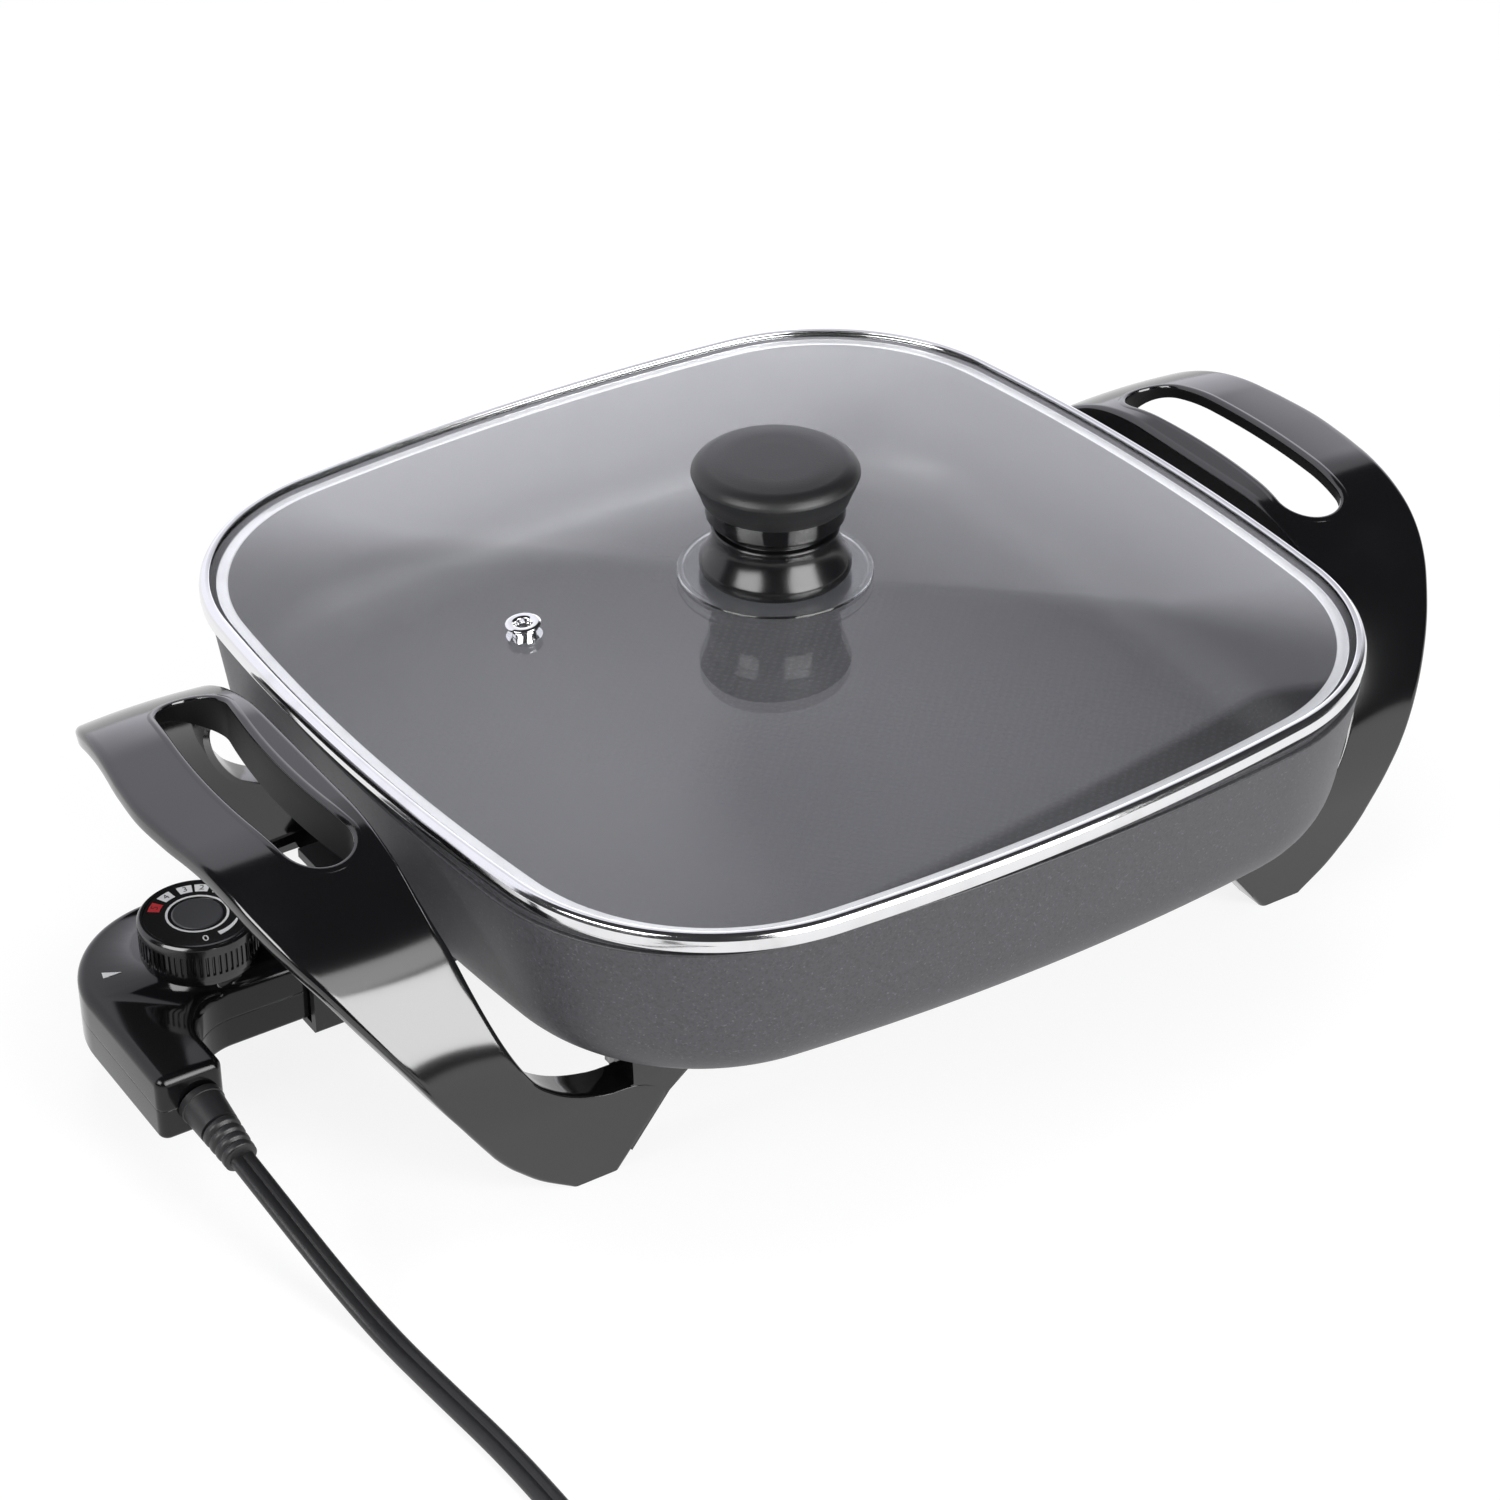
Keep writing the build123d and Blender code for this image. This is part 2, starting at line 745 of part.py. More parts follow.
with BuildPart() as handle_washers:
    extrude(disc(handle_washer_radius, level(block_low_z), screw_corners), amount=-handle_washer_height)
    extrude(disc(handle_screw_radius + free_fit, level(block_low_z), screw_corners),
            amount=-handle_washer_height, mode=Mode.SUBTRACT)
save(handle_washers.part, "handle_washers")

with BuildPart() as handle_screws:
    head_top_z = block_low_z - handle_washer_height
    extrude(disc(handle_screw_radius, level(head_top_z), screw_corners),
            amount=pan_underside_z + screw_grip - head_top_z)
    extrude(disc(handle_screw_head, level(head_top_z), screw_corners), amount=-handle_screw_head_height)
    chamfer(handle_screws.faces().sort_by(Axis.Z)[:4].edges(), length=handle_screw_head_height / 4)
save(handle_screws.part, "handle_screws")

# ---- Lid -----------------------------------------------------------------------------------------


def dome_height(share):
    """Rise of the dome over the glass edge at a share of the way from its middle to its edge."""
    return dome_rise * (1 - share**2)


dome_corner = (core_half * 2**0.5 + dome_half - core_reach) / dome_half
dome_points = [(0, 0, glass_z + dome_height(0))]
for share in dome_shares:
    for step in range(8):
        reach = share * dome_half * (dome_corner if step % 2 else 1)
        around = radians(45 * step + lid_turn)
        dome_points.append((pan_x + reach * cos(around), reach * sin(around), glass_z + dome_height(share)))
dome_edge = rounded_square(dome_half, lid_level(glass_z)).faces()[0].outer_wire()
dome_face = Face.make_surface(dome_edge, dome_points)

vent_share = hypot(vent_x, vent_y) / dome_half
vent_slope = 2 * dome_rise * vent_share / dome_half
vent_z = glass_z + glass_thickness + dome_height(vent_share)
vent_origin = lid_level(vent_z).from_local_coords((vent_x, vent_y))
vent_outward = (vent_origin - Vector(pan_x, 0, vent_origin.Z)).normalized()
vent_plane = Plane(origin=vent_origin, z_dir=Vector(0, 0, 1) + vent_outward * vent_slope)

with BuildPart() as lid_glass:
    extrude(rounded_square(lid_half - rim_sheet - glass_play, lid_level(glass_z)), amount=glass_thickness)
    extrude(rounded_square(dome_half, lid_level(glass_z)), amount=glass_thickness, mode=Mode.SUBTRACT)
    extrude(dome_face, amount=glass_thickness, dir=(0, 0, 1))
    extrude(disc(knob_screw_radius + 2 * free_fit, level(glass_z)), amount=2 * dome_rise + glass_thickness,
            mode=Mode.SUBTRACT)
    extrude(disc(vent_tube + free_fit, vent_plane), amount=2 * glass_thickness, both=True, mode=Mode.SUBTRACT)
save(lid_glass.part, "lid_glass")

with BuildPart() as lid_rim:
    extrude(rounded_square(lid_half, lid_level(pan_lip_z)), amount=rim_height)
    fillet(lid_rim.edges().group_by(Axis.Z)[0] + lid_rim.edges().group_by(Axis.Z)[-1], radius=rim_round)
    extrude(
        rounded_square(lid_half - rim_sheet, lid_level(glass_z)),
        amount=rim_height - 2 * rim_sheet,
        mode=Mode.SUBTRACT,
    )
    extrude(rounded_square(lid_half - rim_flange, lid_level(pan_lip_z)), amount=glass_thickness,
            mode=Mode.SUBTRACT)
    extrude(rounded_square(lid_half - rim_top_flange, lid_level(glass_z)), amount=rim_height,
            mode=Mode.SUBTRACT)
save(lid_rim.part, "lid_rim")

with BuildPart() as steam_vent:
    vent_seat = vent_plane.offset(vent_lift)
    extrude(disc(vent_flange, vent_seat), amount=vent_flange_height)
    top_edge = steam_vent.edges().filter_by(GeomType.CIRCLE).sort_by(Axis.Z)[-1]
    chamfer(top_edge, length=vent_flange_height / 2)
    extrude(disc(vent_tube, vent_seat), amount=-(glass_thickness + vent_ring_height + 2 * vent_lift))
    extrude(disc(vent_hole, vent_seat), amount=4 * glass_thickness, both=True, mode=Mode.SUBTRACT)
save(steam_vent.part, "steam_vent")

with BuildPart() as steam_vent_ring:
    ring_seat = vent_plane.offset(-glass_thickness - vent_lift / 2)
    extrude(disc(vent_flange, ring_seat), amount=-vent_ring_height)
    extrude(disc(vent_tube + running_fit, ring_seat), amount=-vent_ring_height, mode=Mode.SUBTRACT)
save(steam_vent_ring.part, "steam_vent_ring")

# ---- Knob ----------------------------------------------------------------------------------------

knob_axis = upright(0, 0)
screw_bore = knob_screw_radius + free_fit

with BuildPart() as knob_seat:
    extrude(disc(seat_radius, level(seat_z)), amount=seat_height)
    fillet(knob_seat.edges().group_by(Axis.Z)[-1], radius=seat_height / 2)
    extrude(disc(screw_bore, level(seat_z)), amount=seat_height, mode=Mode.SUBTRACT)
save(knob_seat.part, "knob_seat")

with BuildPart() as knob_base:
    with BuildSketch(side(0)):
        with BuildLine():
            low = knob_z
            Line((0, low), (knob_foot_low, low))
            ThreePointArc(
                (knob_foot_low, low),
                (knob_foot - knob_foot_curve[0], low + knob_foot_curve[1]),
                (knob_foot, low + knob_foot_height),
            )
            ThreePointArc(
                (knob_foot, low + knob_foot_height),
                (knob_waist + knob_waist_curve[0], low + knob_waist_curve[1]),
                (knob_waist, knob_lip_z - knob_lip_height),
            )
            Polyline(
                (knob_waist, knob_lip_z - knob_lip_height),
                (knob_lip, knob_lip_z - knob_lip_height + knob_lip_slope),
                (knob_lip, knob_lip_z - knob_lip_round[1]),
                (knob_lip - knob_lip_round[0], knob_lip_z),
                (knob_neck, knob_lip_z),
                (knob_neck, knob_ring_z),
                (0, knob_ring_z),
                (0, low),
            )
        make_face()
    revolve(axis=knob_axis)
    extrude(disc(insert_radius + running_fit, level(knob_z)), amount=insert_height, mode=Mode.SUBTRACT)
    extrude(disc(knob_stem + free_fit, level(knob_ring_z)), amount=-knob_stem_depth, mode=Mode.SUBTRACT)
save(knob_base.part, "knob_base")

with BuildPart() as knob_ring:
    extrude(disc(knob_ring_radius, level(knob_ring_z)), amount=knob_ring_height)
    chamfer(knob_ring.edges().group_by(Axis.Z)[0], length=knob_ring_bevel)
    extrude(disc(knob_stem + free_fit, level(knob_ring_z)), amount=knob_ring_height, mode=Mode.SUBTRACT)
save(knob_ring.part, "knob_ring")

with BuildPart() as knob_top:
    with BuildSketch(side(0)):
        with BuildLine():
            skirt_top = knob_top_z + knob_skirt_height
            brim = skirt_top + knob_cap_rise
            skirt_radius = knob_ring_radius + knob_skirt_flare
            Polyline((0, knob_top_z), (knob_ring_radius, knob_top_z), (skirt_radius, skirt_top))
            ThreePointArc(
                (skirt_radius, skirt_top),
                (knob_cap_radius - knob_cap_flank[0], skirt_top + knob_cap_flank[1]),
                (knob_cap_radius, brim),
            )
            shoulder = knob_cap_radius - knob_brim_round
            ThreePointArc(
                (knob_cap_radius, brim),
                (knob_cap_radius - knob_brim_curve[0], brim + knob_brim_curve[1]),
                (shoulder, brim + knob_brim_rise),
            )
            TangentArc((0, brim + knob_dome), (shoulder, brim + knob_brim_rise), tangent=(1, 0))
            Line((0, brim + knob_dome), (0, knob_top_z))
        make_face()
    revolve(axis=knob_axis)
    extrude(disc(knob_stem, level(knob_top_z)), amount=-(knob_ring_height + knob_stem_depth - free_fit))
save(knob_top.part, "knob_top")

with BuildPart() as knob_insert:
    extrude(disc(insert_radius, level(knob_z)), amount=insert_height - free_fit)
    extrude(disc(knob_screw_radius + screw_fit, level(knob_z)), amount=insert_height, mode=Mode.SUBTRACT)
save(knob_insert.part, "knob_insert")

washer_top_z = glass_top_z - glass_thickness - free_fit / 2

with BuildPart() as knob_washer:
    extrude(disc(knob_washer_radius, level(washer_top_z)), amount=-knob_washer_height)
    extrude(disc(screw_bore, level(washer_top_z)), amount=-knob_washer_height, mode=Mode.SUBTRACT)
save(knob_washer.part, "knob_washer")

with BuildPart() as knob_screw:
    head_z = washer_top_z - knob_washer_height
    extrude(disc(knob_screw_radius, level(head_z)), amount=knob_z + insert_height * 2 / 3 - head_z)
    extrude(disc(knob_screw_head, level(head_z)), amount=-knob_screw_head_height)
    fillet(knob_screw.edges().group_by(Axis.Z)[0], radius=knob_screw_head_height / 3)
save(knob_screw.part, "knob_screw")

# ---- Controller housing --------------------------------------------------------------------------


def controller_plan(plane, margin=0.0):
    """The controller's outline from above, drawn in by a margin."""
    with BuildSketch(plane) as plan:
        with BuildLine():
            diagonal = head_radius * cos(radians(45))
            ThreePointArc((-controller_reach, head_y), (head_x - diagonal, head_y + diagonal),
                          (-controller_face, face_y))
            Polyline(
                (-controller_face, face_y),
                (-controller_face, nose_half),
                (-nose_tip, nose_half),
                (-nose_tip, -nose_half),
                (armpit_x + armpit_radius, -nose_half),
            )
            pit = (armpit_x + armpit_radius, -nose_half - armpit_radius)
            CenterArc(pit, armpit_radius, 90, 90)
            Polyline(
                (armpit_x, -nose_half - armpit_radius),
                (armpit_x, arm_end_y),
                (-controller_reach, arm_end_y),
                (-controller_reach, head_y),
            )
        make_face()
        fillet(plan.vertices().group_by(Axis.Y)[0], radius=corner_round)
        fillet(plan.vertices().sort_by_distance((-controller_face, face_y))[0], radius=2 * corner_round)
        if margin:
            offset(amount=-margin, kind=Kind.INTERSECTION)
    return plan.sketch


nose_holes = [
    (disc(sleeve_radius + running_fit, across(-nose_tip), terminal_places), controller_wall),
    (disc(probe_radius + running_fit, across(-nose_tip), [(0, terminal_z)]), controller_wall),
]
relief_place = [(relief_x, relief_z)]

with BuildPart() as controller_upper_housing:
    extrude(controller_plan(level(terminal_z)), amount=controller_top_z - terminal_z)
    fillet(controller_upper_housing.edges().group_by(Axis.Z)[-1], radius=top_round)
    extrude(controller_plan(level(terminal_z), controller_wall), amount=inner_roof_z - terminal_z,
            mode=Mode.SUBTRACT)
    extrude(disc(dial_collar_radius, level(inner_roof_z), [(dial_x, dial_y)]),
            amount=controller_wall + dial_collar_height)
    extrude(disc(shaft_radius + running_fit, level(0), [(dial_x, dial_y)]), amount=dial_top_z,
            mode=Mode.SUBTRACT)
    extrude(disc(housing_boss_radius, level(terminal_z), screw_places), amount=inner_roof_z - terminal_z)
    extrude(disc(housing_screw_radius + screw_fit, level(terminal_z), screw_places),
            amount=inner_roof_z - terminal_z - free_fit, mode=Mode.SUBTRACT)
    for hole, depth in nose_holes:
        extrude(hole, amount=-depth, mode=Mode.SUBTRACT)
    extrude(disc(relief_neck + running_fit, side(arm_end_y), relief_place), amount=-controller_wall,
            mode=Mode.SUBTRACT)
save(controller_upper_housing.part, "controller_upper_housing")

with BuildPart() as controller_lower_housing:
    extrude(controller_plan(level(controller_low_z)), amount=terminal_z - controller_low_z)
    fillet(controller_lower_housing.edges().group_by(Axis.Z)[0], radius=low_round)
    extrude(controller_plan(level(inner_floor_z), controller_wall), amount=terminal_z - inner_floor_z,
            mode=Mode.SUBTRACT)
    extrude(disc(housing_boss_radius, level(inner_floor_z), screw_places), amount=terminal_z - inner_floor_z)
    extrude(disc(housing_screw_radius + free_fit, level(controller_low_z), screw_places),
            amount=terminal_z - controller_low_z, mode=Mode.SUBTRACT)
    extrude(disc(housing_screw_head + free_fit, level(controller_low_z), screw_places),
            amount=2 * housing_screw_head_height, mode=Mode.SUBTRACT)
    for hole, depth in nose_holes:
        extrude(hole, amount=-depth, mode=Mode.SUBTRACT)
    extrude(disc(relief_neck + running_fit, side(arm_end_y), relief_place), amount=-controller_wall,
            mode=Mode.SUBTRACT)
save(controller_lower_housing.part, "controller_lower_housing")

with BuildPart() as housing_screws:
    screw_seat_z = controller_low_z + 2 * housing_screw_head_height
    extrude(disc(housing_screw_radius, level(screw_seat_z), screw_places), amount=housing_screw_length)
    extrude(disc(housing_screw_head, level(screw_seat_z), screw_places), amount=-housing_screw_head_height)
save(housing_screws.part, "housing_screws")

pointer_turn = radians(pointer_angle)
pointer_tip = (dial_x + pointer_distance * cos(pointer_turn), dial_y + pointer_distance * sin(pointer_turn))

pointer_way = (cos(pointer_turn), sin(pointer_turn), 0)
pointer_place = (pan_x + pointer_tip[0], pointer_tip[1], controller_top_z)

with BuildPart() as pointer_mark:
    with BuildSketch(Plane(origin=pointer_place, x_dir=pointer_way, z_dir=(0, 0, 1))):
        with BuildLine():
            Polyline(
                (0, 0),
                (pointer_length, pointer_width / 2),
                (pointer_length, -pointer_width / 2),
                close=True,
            )
        make_face()
    extrude(amount=pointer_height)
save(pointer_mark.part, "pointer_mark")

# ---- Dial ----------------------------------------------------------------------------------------

dial_place = [(dial_x, dial_y)]

with BuildPart() as dial:
    extrude(disc(dial_flange, level(dial_low_z), dial_place), amount=dial_flange_height)
    extrude(disc(dial_radius, level(dial_low_z + dial_flange_height), dial_place),
            amount=dial_top_z - dial_low_z - dial_flange_height)
    chamfer(dial.edges().group_by(Axis.Z)[-1], length=dial_bevel)
    extrude(disc(dial_flange - dial_wall, level(dial_low_z), dial_place),
            amount=dial_top_z - dial_wall - dial_low_z, mode=Mode.SUBTRACT)
    extrude(disc(dial_hub, level(dial_low_z), dial_place), amount=dial_top_z - dial_wall - dial_low_z)
    extrude(disc(shaft_radius + running_fit, level(dial_low_z), dial_place), amount=shaft_into_dial,
            mode=Mode.SUBTRACT)
    extrude(disc(cap_radius + running_fit, level(dial_top_z), dial_place), amount=-cap_recess,
            mode=Mode.SUBTRACT)
    with BuildSketch(level(dial_low_z + dial_flange_height + flute_low)):
        with Locations(dial_place[0]):
            with PolarLocations(dial_radius, flute_count):
                Circle(flute_radius)
    extrude(amount=flute_height, mode=Mode.SUBTRACT)
save(dial.part, "dial")

with BuildPart() as dial_cap:
    extrude(disc(cap_radius, level(dial_top_z - cap_recess), dial_place), amount=cap_recess + cap_proud)
save(dial_cap.part, "dial_cap")

lower_blade_z = inner_floor_z + bracket_sheet + first_spacer
upper_blade_z = lower_blade_z + blade_thickness + middle_spacer
shaft_low_z = upper_blade_z + blade_thickness + turning_gap
clip_z = inner_roof_z - turning_gap - clip_height

with BuildPart() as dial_shaft:
    extrude(disc(shaft_radius, level(shaft_low_z), dial_place),
            amount=dial_low_z + shaft_into_dial - shaft_low_z)
    chamfer(dial_shaft.edges().group_by(Axis.Z)[0], length=shaft_radius / 3)
save(dial_shaft.part, "dial_shaft")

with BuildPart() as dial_clip:
    extrude(disc(clip_radius, level(clip_z), dial_place), amount=clip_height)
    extrude(disc(shaft_radius + running_fit, level(clip_z), dial_place), amount=clip_height,
            mode=Mode.SUBTRACT)
save(dial_clip.part, "dial_clip")

# ---- Thermostat ----------------------------------------------------------------------------------

bracket_right = -controller_face - bracket_setback
bracket_left = bracket_right - bracket_length
blade_root = bracket_left

with BuildPart() as thermostat_bracket:
    with BuildSketch(level(inner_floor_z)):
        with Locations(((bracket_left + bracket_right) / 2, dial_y)):
            Rectangle(bracket_length, bracket_width)
    extrude(amount=bracket_sheet)
    with BuildSketch(across(bracket_right)):
        with Locations((0, inner_floor_z + bracket_rise / 2)):
            Rectangle(2 * bracket_ear_half, bracket_rise)
    extrude(amount=-bracket_sheet)
    extrude(disc(probe_radius + running_fit, across(bracket_right), [(0, terminal_z)]),
            amount=-bracket_sheet, mode=Mode.SUBTRACT)
save(thermostat_bracket.part, "thermostat_bracket")

spacer_levels = (
    (inner_floor_z + bracket_sheet, first_spacer),
    (lower_blade_z + blade_thickness, middle_spacer),
    (upper_blade_z + blade_thickness, last_spacer),
)

with BuildPart() as blade_spacers:
    for spacer_z, spacer_height in spacer_levels:
        with BuildSketch(level(spacer_z)):
            with Locations((blade_root + spacer_inset + spacer_length / 2, dial_y)):
                Rectangle(spacer_length, spacer_width)
        extrude(amount=spacer_height)
save(blade_spacers.part, "blade_spacers")

with BuildPart() as contact_blades:
    for blade_z in (lower_blade_z, upper_blade_z):
        with BuildSketch(level(blade_z)):
            with Locations((blade_root + blade_length / 2, dial_y)):
                Rectangle(blade_length, blade_width)
        extrude(amount=blade_thickness)
save(contact_blades.part, "contact_blades")

point_place = [(blade_root + blade_length - point_inset, dial_y)]

with BuildPart() as contact_points:
    extrude(disc(point_radius, level(lower_blade_z + blade_thickness), point_place), amount=point_height)
    extrude(disc(point_radius, level(upper_blade_z), point_place), amount=-point_height)
save(contact_points.part, "contact_points")

with BuildPart() as temperature_probe:
    extrude(disc(probe_radius, across(-probe_root), [(0, terminal_z)]), amount=probe_root - probe_tip)
    fillet(temperature_probe.edges().group_by(Axis.X)[-1], radius=probe_nose_round)
save(temperature_probe.part, "temperature_probe")

block_tip = nose_tip + controller_wall + free_fit

with BuildPart() as socket_block:
    with BuildSketch(across(-block_tip)):
        with Locations((0, terminal_z)):
            Rectangle(2 * (nose_half - controller_wall - free_fit), socket_block_height)
            Circle(probe_radius + running_fit, mode=Mode.SUBTRACT)
        with Locations(*terminal_places):
            Circle(sleeve_radius + running_fit, mode=Mode.SUBTRACT)
    extrude(amount=-socket_block_length)
save(socket_block.part, "socket_block")

with BuildPart() as socket_contacts:
    extrude(disc(sleeve_radius, across(-nose_tip), terminal_places), amount=nose_tip - sleeve_end)
    extrude(disc(pin_radius + running_fit, across(-nose_tip), terminal_places),
            amount=nose_tip - pin_tip - pin_bore_spare, mode=Mode.SUBTRACT)
save(socket_contacts.part, "socket_contacts")

lead_start_y = arm_end_y + controller_wall + relief_flange_height + free_fit
lead_turn_x = -controller_face - lead_turn_setback
lead_turn_z = terminal_z + lead_turn_rise
blade_lead = (
    (relief_x + lead_spread, lead_start_y, relief_z),
    (relief_x + lead_spread, dial_y, lower_blade_z + lead_radius),
    (blade_root, dial_y, lower_blade_z + lead_radius),
)
pin_lead = (
    (relief_x - lead_spread, lead_start_y, relief_z + lead_rise),
    (relief_x - lead_spread, lead_turn_y, lead_turn_z),
    (lead_turn_x, lead_turn_y, lead_turn_z),
    (lead_turn_x, terminal_spread, terminal_z),
    (-sleeve_end, terminal_spread, terminal_z),
)

with BuildPart() as power_leads:
    for points, bends in ((blade_lead, (blade_lead_bend,)), (pin_lead, pin_lead_bends)):
        lead_points = [Vector(pan_x + x, y, z) for x, y, z in points]
        with BuildLine() as lead_line:
            FilletPolyline(*lead_points, radius=bends)
        with BuildSketch(Plane(origin=lead_points[0], z_dir=lead_line.line % 0)):
            Circle(lead_radius)
        sweep()
save(power_leads.part, "power_leads")

# ---- Strain relief, cord and plug ----------------------------------------------------------------

relief_root = Vector(pan_x + relief_x, arm_end_y, relief_z)
relief_run = Vector(*relief_way)
relief_end = relief_root + relief_run
relief_plane = Plane(origin=relief_root, x_dir=relief_run, z_dir=relief_run.cross(Vector(0, 0, 1)))
relief_taper = (relief_root_radius - relief_tip_radius) / (relief_run.length - relief_collar_length)


def relief_surface(place, sunk=0.0):
    """Point of the strain relief's outline at a place along it, sunk below its cone."""
    return (place, relief_tip_radius + relief_taper * (relief_run.length - place) - sunk)


relief_outline = [(relief_collar_length, 0), relief_surface(relief_collar_length)]
for groove in reversed(range(relief_groove_count)):
    groove_end = relief_run.length - relief_groove_pitch * (groove + 1)
    groove_start = groove_end - relief_groove_width
    relief_outline += [
        relief_surface(groove_start),
        relief_surface(groove_start, relief_groove),
        relief_surface(groove_end, relief_groove),
        relief_surface(groove_end),
    ]
relief_outline += [relief_surface(relief_run.length), (relief_run.length, 0)]

with BuildPart() as strain_relief:
    with BuildSketch(relief_plane):
        with BuildLine():
            Polyline(*relief_outline, close=True)
        make_face()
    revolve(axis=Axis(relief_root, relief_run))
    extrude(disc(relief_neck, side(arm_end_y), relief_place), amount=-controller_wall)
    extrude(disc(relief_flange, side(arm_end_y + controller_wall), relief_place),
            amount=-relief_flange_height)
    extrude(disc(relief_collar, side(arm_end_y), relief_place),
            amount=relief_collar_length + relief_collar_overlap)
save(strain_relief.part, "strain_relief")


def bend_radii(points):
    """Largest radius at each corner of a route whose arcs share the runs between them."""
    radii = []
    for before, corner, after in zip(points, points[1:], points[2:]):
        first_run = corner - before
        second_run = after - corner
        half_turn = radians(first_run.get_angle(second_run)) / 2
        radii.append(bend_share * min(first_run.length, second_run.length) / tan(half_turn))
    return radii


def cord_tube(name, points):
    """Flat cord along straight runs joined by tangent arcs."""
    radii = bend_radii(points)
    with BuildPart() as tube:
        with BuildLine() as route:
            FilletPolyline(*points, radius=radii)
        with BuildSketch(Plane(origin=points[0], x_dir=(1, 0, 0), z_dir=route.line % 0)) as section:
            SlotOverall(cord_width, cord_thickness)
        sweep()
    length = route.wire().length
    expected = section.sketch.area * length
    print(name, "length", round(length, 1), "volume over section times length",
          round(tube.part.volume / expected, 4), "radii", [round(radius, 1) for radius in radii])
    save(tube.part, name)


cord_route = [relief_end] + [Vector(pan_x + x, y, z) for x, y, z in cord_points]
cord_tube("cord", cord_route)
tail_route = [Vector(pan_x + x, y, z) for x, y, z in tail_points]
cord_tube("cord_tail", tail_route)

with BuildPart() as cord_coil:
    with BuildSketch(level(0)):
        with Locations((coil_x, coil_y)):
            Circle(coil_radius + coil_width / 2)
            Circle(coil_radius - coil_width / 2, mode=Mode.SUBTRACT)
    extrude(amount=coil_height)
    fillet(cord_coil.edges().group_by(Axis.Z)[-1], radius=coil_round)
save(cord_coil.part, "cord_coil")

plug_start = tail_route[-1]
plug_plane = Plane(origin=(plug_start.X, plug_start.Y, 0))

with BuildPart() as plug_body:
    with BuildSketch(plug_plane.offset(plug_start.Z - plug_height / 2)):
        with Locations((-plug_boot - plug_length / 2, 0)):
            RectangleRounded(plug_length, plug_width, plug_round)
    extrude(amount=plug_height)
    fillet(plug_body.edges().group_by(Axis.Z)[-1], radius=plug_round)
    with BuildSketch(Plane(origin=plug_start, z_dir=(-1, 0, 0))):
        Circle(plug_boot_radius)
    extrude(amount=plug_boot + plug_round)
save(plug_body.part, "plug_body")

with BuildPart() as plug_blades:
    with BuildSketch(Plane(origin=plug_start - Vector(plug_boot + plug_length), z_dir=(-1, 0, 0))):
        with GridLocations(plug_blade_gap, 0, 2, 1):
            Rectangle(plug_blade_thickness, plug_blade_width)
    extrude(amount=plug_blade_length)
save(plug_blades.part, "plug_blades")
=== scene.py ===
"""Electric skillet: square pan, glass lid, two handle arches, and a plug-in controller on its cord.

Metres, +Z up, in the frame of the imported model. Profiles are given in millimetres and turned into
metres where a mesh is made. Everything that is symmetrical about the pan stands about PAN_X.
"""

import logging
from dataclasses import dataclass
from enum import Enum
from math import cos, hypot, pi, radians, sin
from typing import Any, Callable, Mapping, Sequence

import bmesh
import bpy
import numpy as np
from bpy.types import Material, Mesh, Node, NodeSocket, Object, World
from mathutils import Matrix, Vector


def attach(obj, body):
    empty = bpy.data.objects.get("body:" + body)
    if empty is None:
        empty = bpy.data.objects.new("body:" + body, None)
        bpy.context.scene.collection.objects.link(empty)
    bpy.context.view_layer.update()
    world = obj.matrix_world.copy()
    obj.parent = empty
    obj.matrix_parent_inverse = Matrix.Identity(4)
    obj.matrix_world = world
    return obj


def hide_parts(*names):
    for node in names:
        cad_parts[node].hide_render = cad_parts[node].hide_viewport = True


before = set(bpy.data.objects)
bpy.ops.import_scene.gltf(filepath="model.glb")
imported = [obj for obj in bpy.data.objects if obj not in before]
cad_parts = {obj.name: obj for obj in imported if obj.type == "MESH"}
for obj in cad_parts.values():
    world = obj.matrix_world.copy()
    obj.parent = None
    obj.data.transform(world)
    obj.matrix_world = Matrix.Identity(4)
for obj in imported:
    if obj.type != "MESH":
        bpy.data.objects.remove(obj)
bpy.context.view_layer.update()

log = logging.getLogger("skillet")

MM = 0.001
PAN_X = 8.9                 # pan's middle, millimetres
LID_TURN = radians(2.2)
SAME_PLACE = 2e-6           # metres within which a CAD mesh's corners are one
Array = np.ndarray
Colour = tuple[float, float, float]
Pair = tuple[float, float]
Point = tuple[float, float, float]


# ---- Shader expressions ----


def maths(operation: str, swapped: bool = False) -> Callable[["Value", Any], "Value"]:
    """An operator of Value that adds a Math node, its two operands swapped where asked."""

    def apply(value: "Value", other: Any) -> "Value":
        """Result of the node for a value and a number or value."""
        operands = (other, value) if swapped else (value, other)
        return value.result("ShaderNodeMath", dict(enumerate(operands)), operation=operation)

    return apply


class Value:
    """A number's socket that takes part in Python arithmetic: each operator adds its Math node."""

    __add__ = __radd__ = maths("ADD")
    __sub__ = maths("SUBTRACT")
    __rsub__ = maths("SUBTRACT", swapped=True)
    __mul__ = __rmul__ = maths("MULTIPLY")
    __gt__ = maths("GREATER_THAN")

    def __init__(self, shader: "Shader", socket: NodeSocket) -> None:
        """Wraps a socket of a shader."""
        self.shader = shader
        self.socket = socket

    def result(self, kind: str, sockets: Mapping[Any, Any], **settings: Any) -> "Value":
        """First output of a node that is added to the value's shader."""
        return Value(self.shader, self.shader.node(kind, sockets, **settings).outputs[0])

    def sine(self) -> "Value":
        """Sine of the value in radians."""
        return self.result("ShaderNodeMath", {0: self}, operation="SINE")

    def ramp(self, low: float, high: float) -> "Value":
        """0 below low, 1 above high, smooth between."""
        sockets = {"Value": self, "From Min": low, "From Max": high}
        return self.result("ShaderNodeMapRange", sockets, interpolation_type="SMOOTHSTEP")


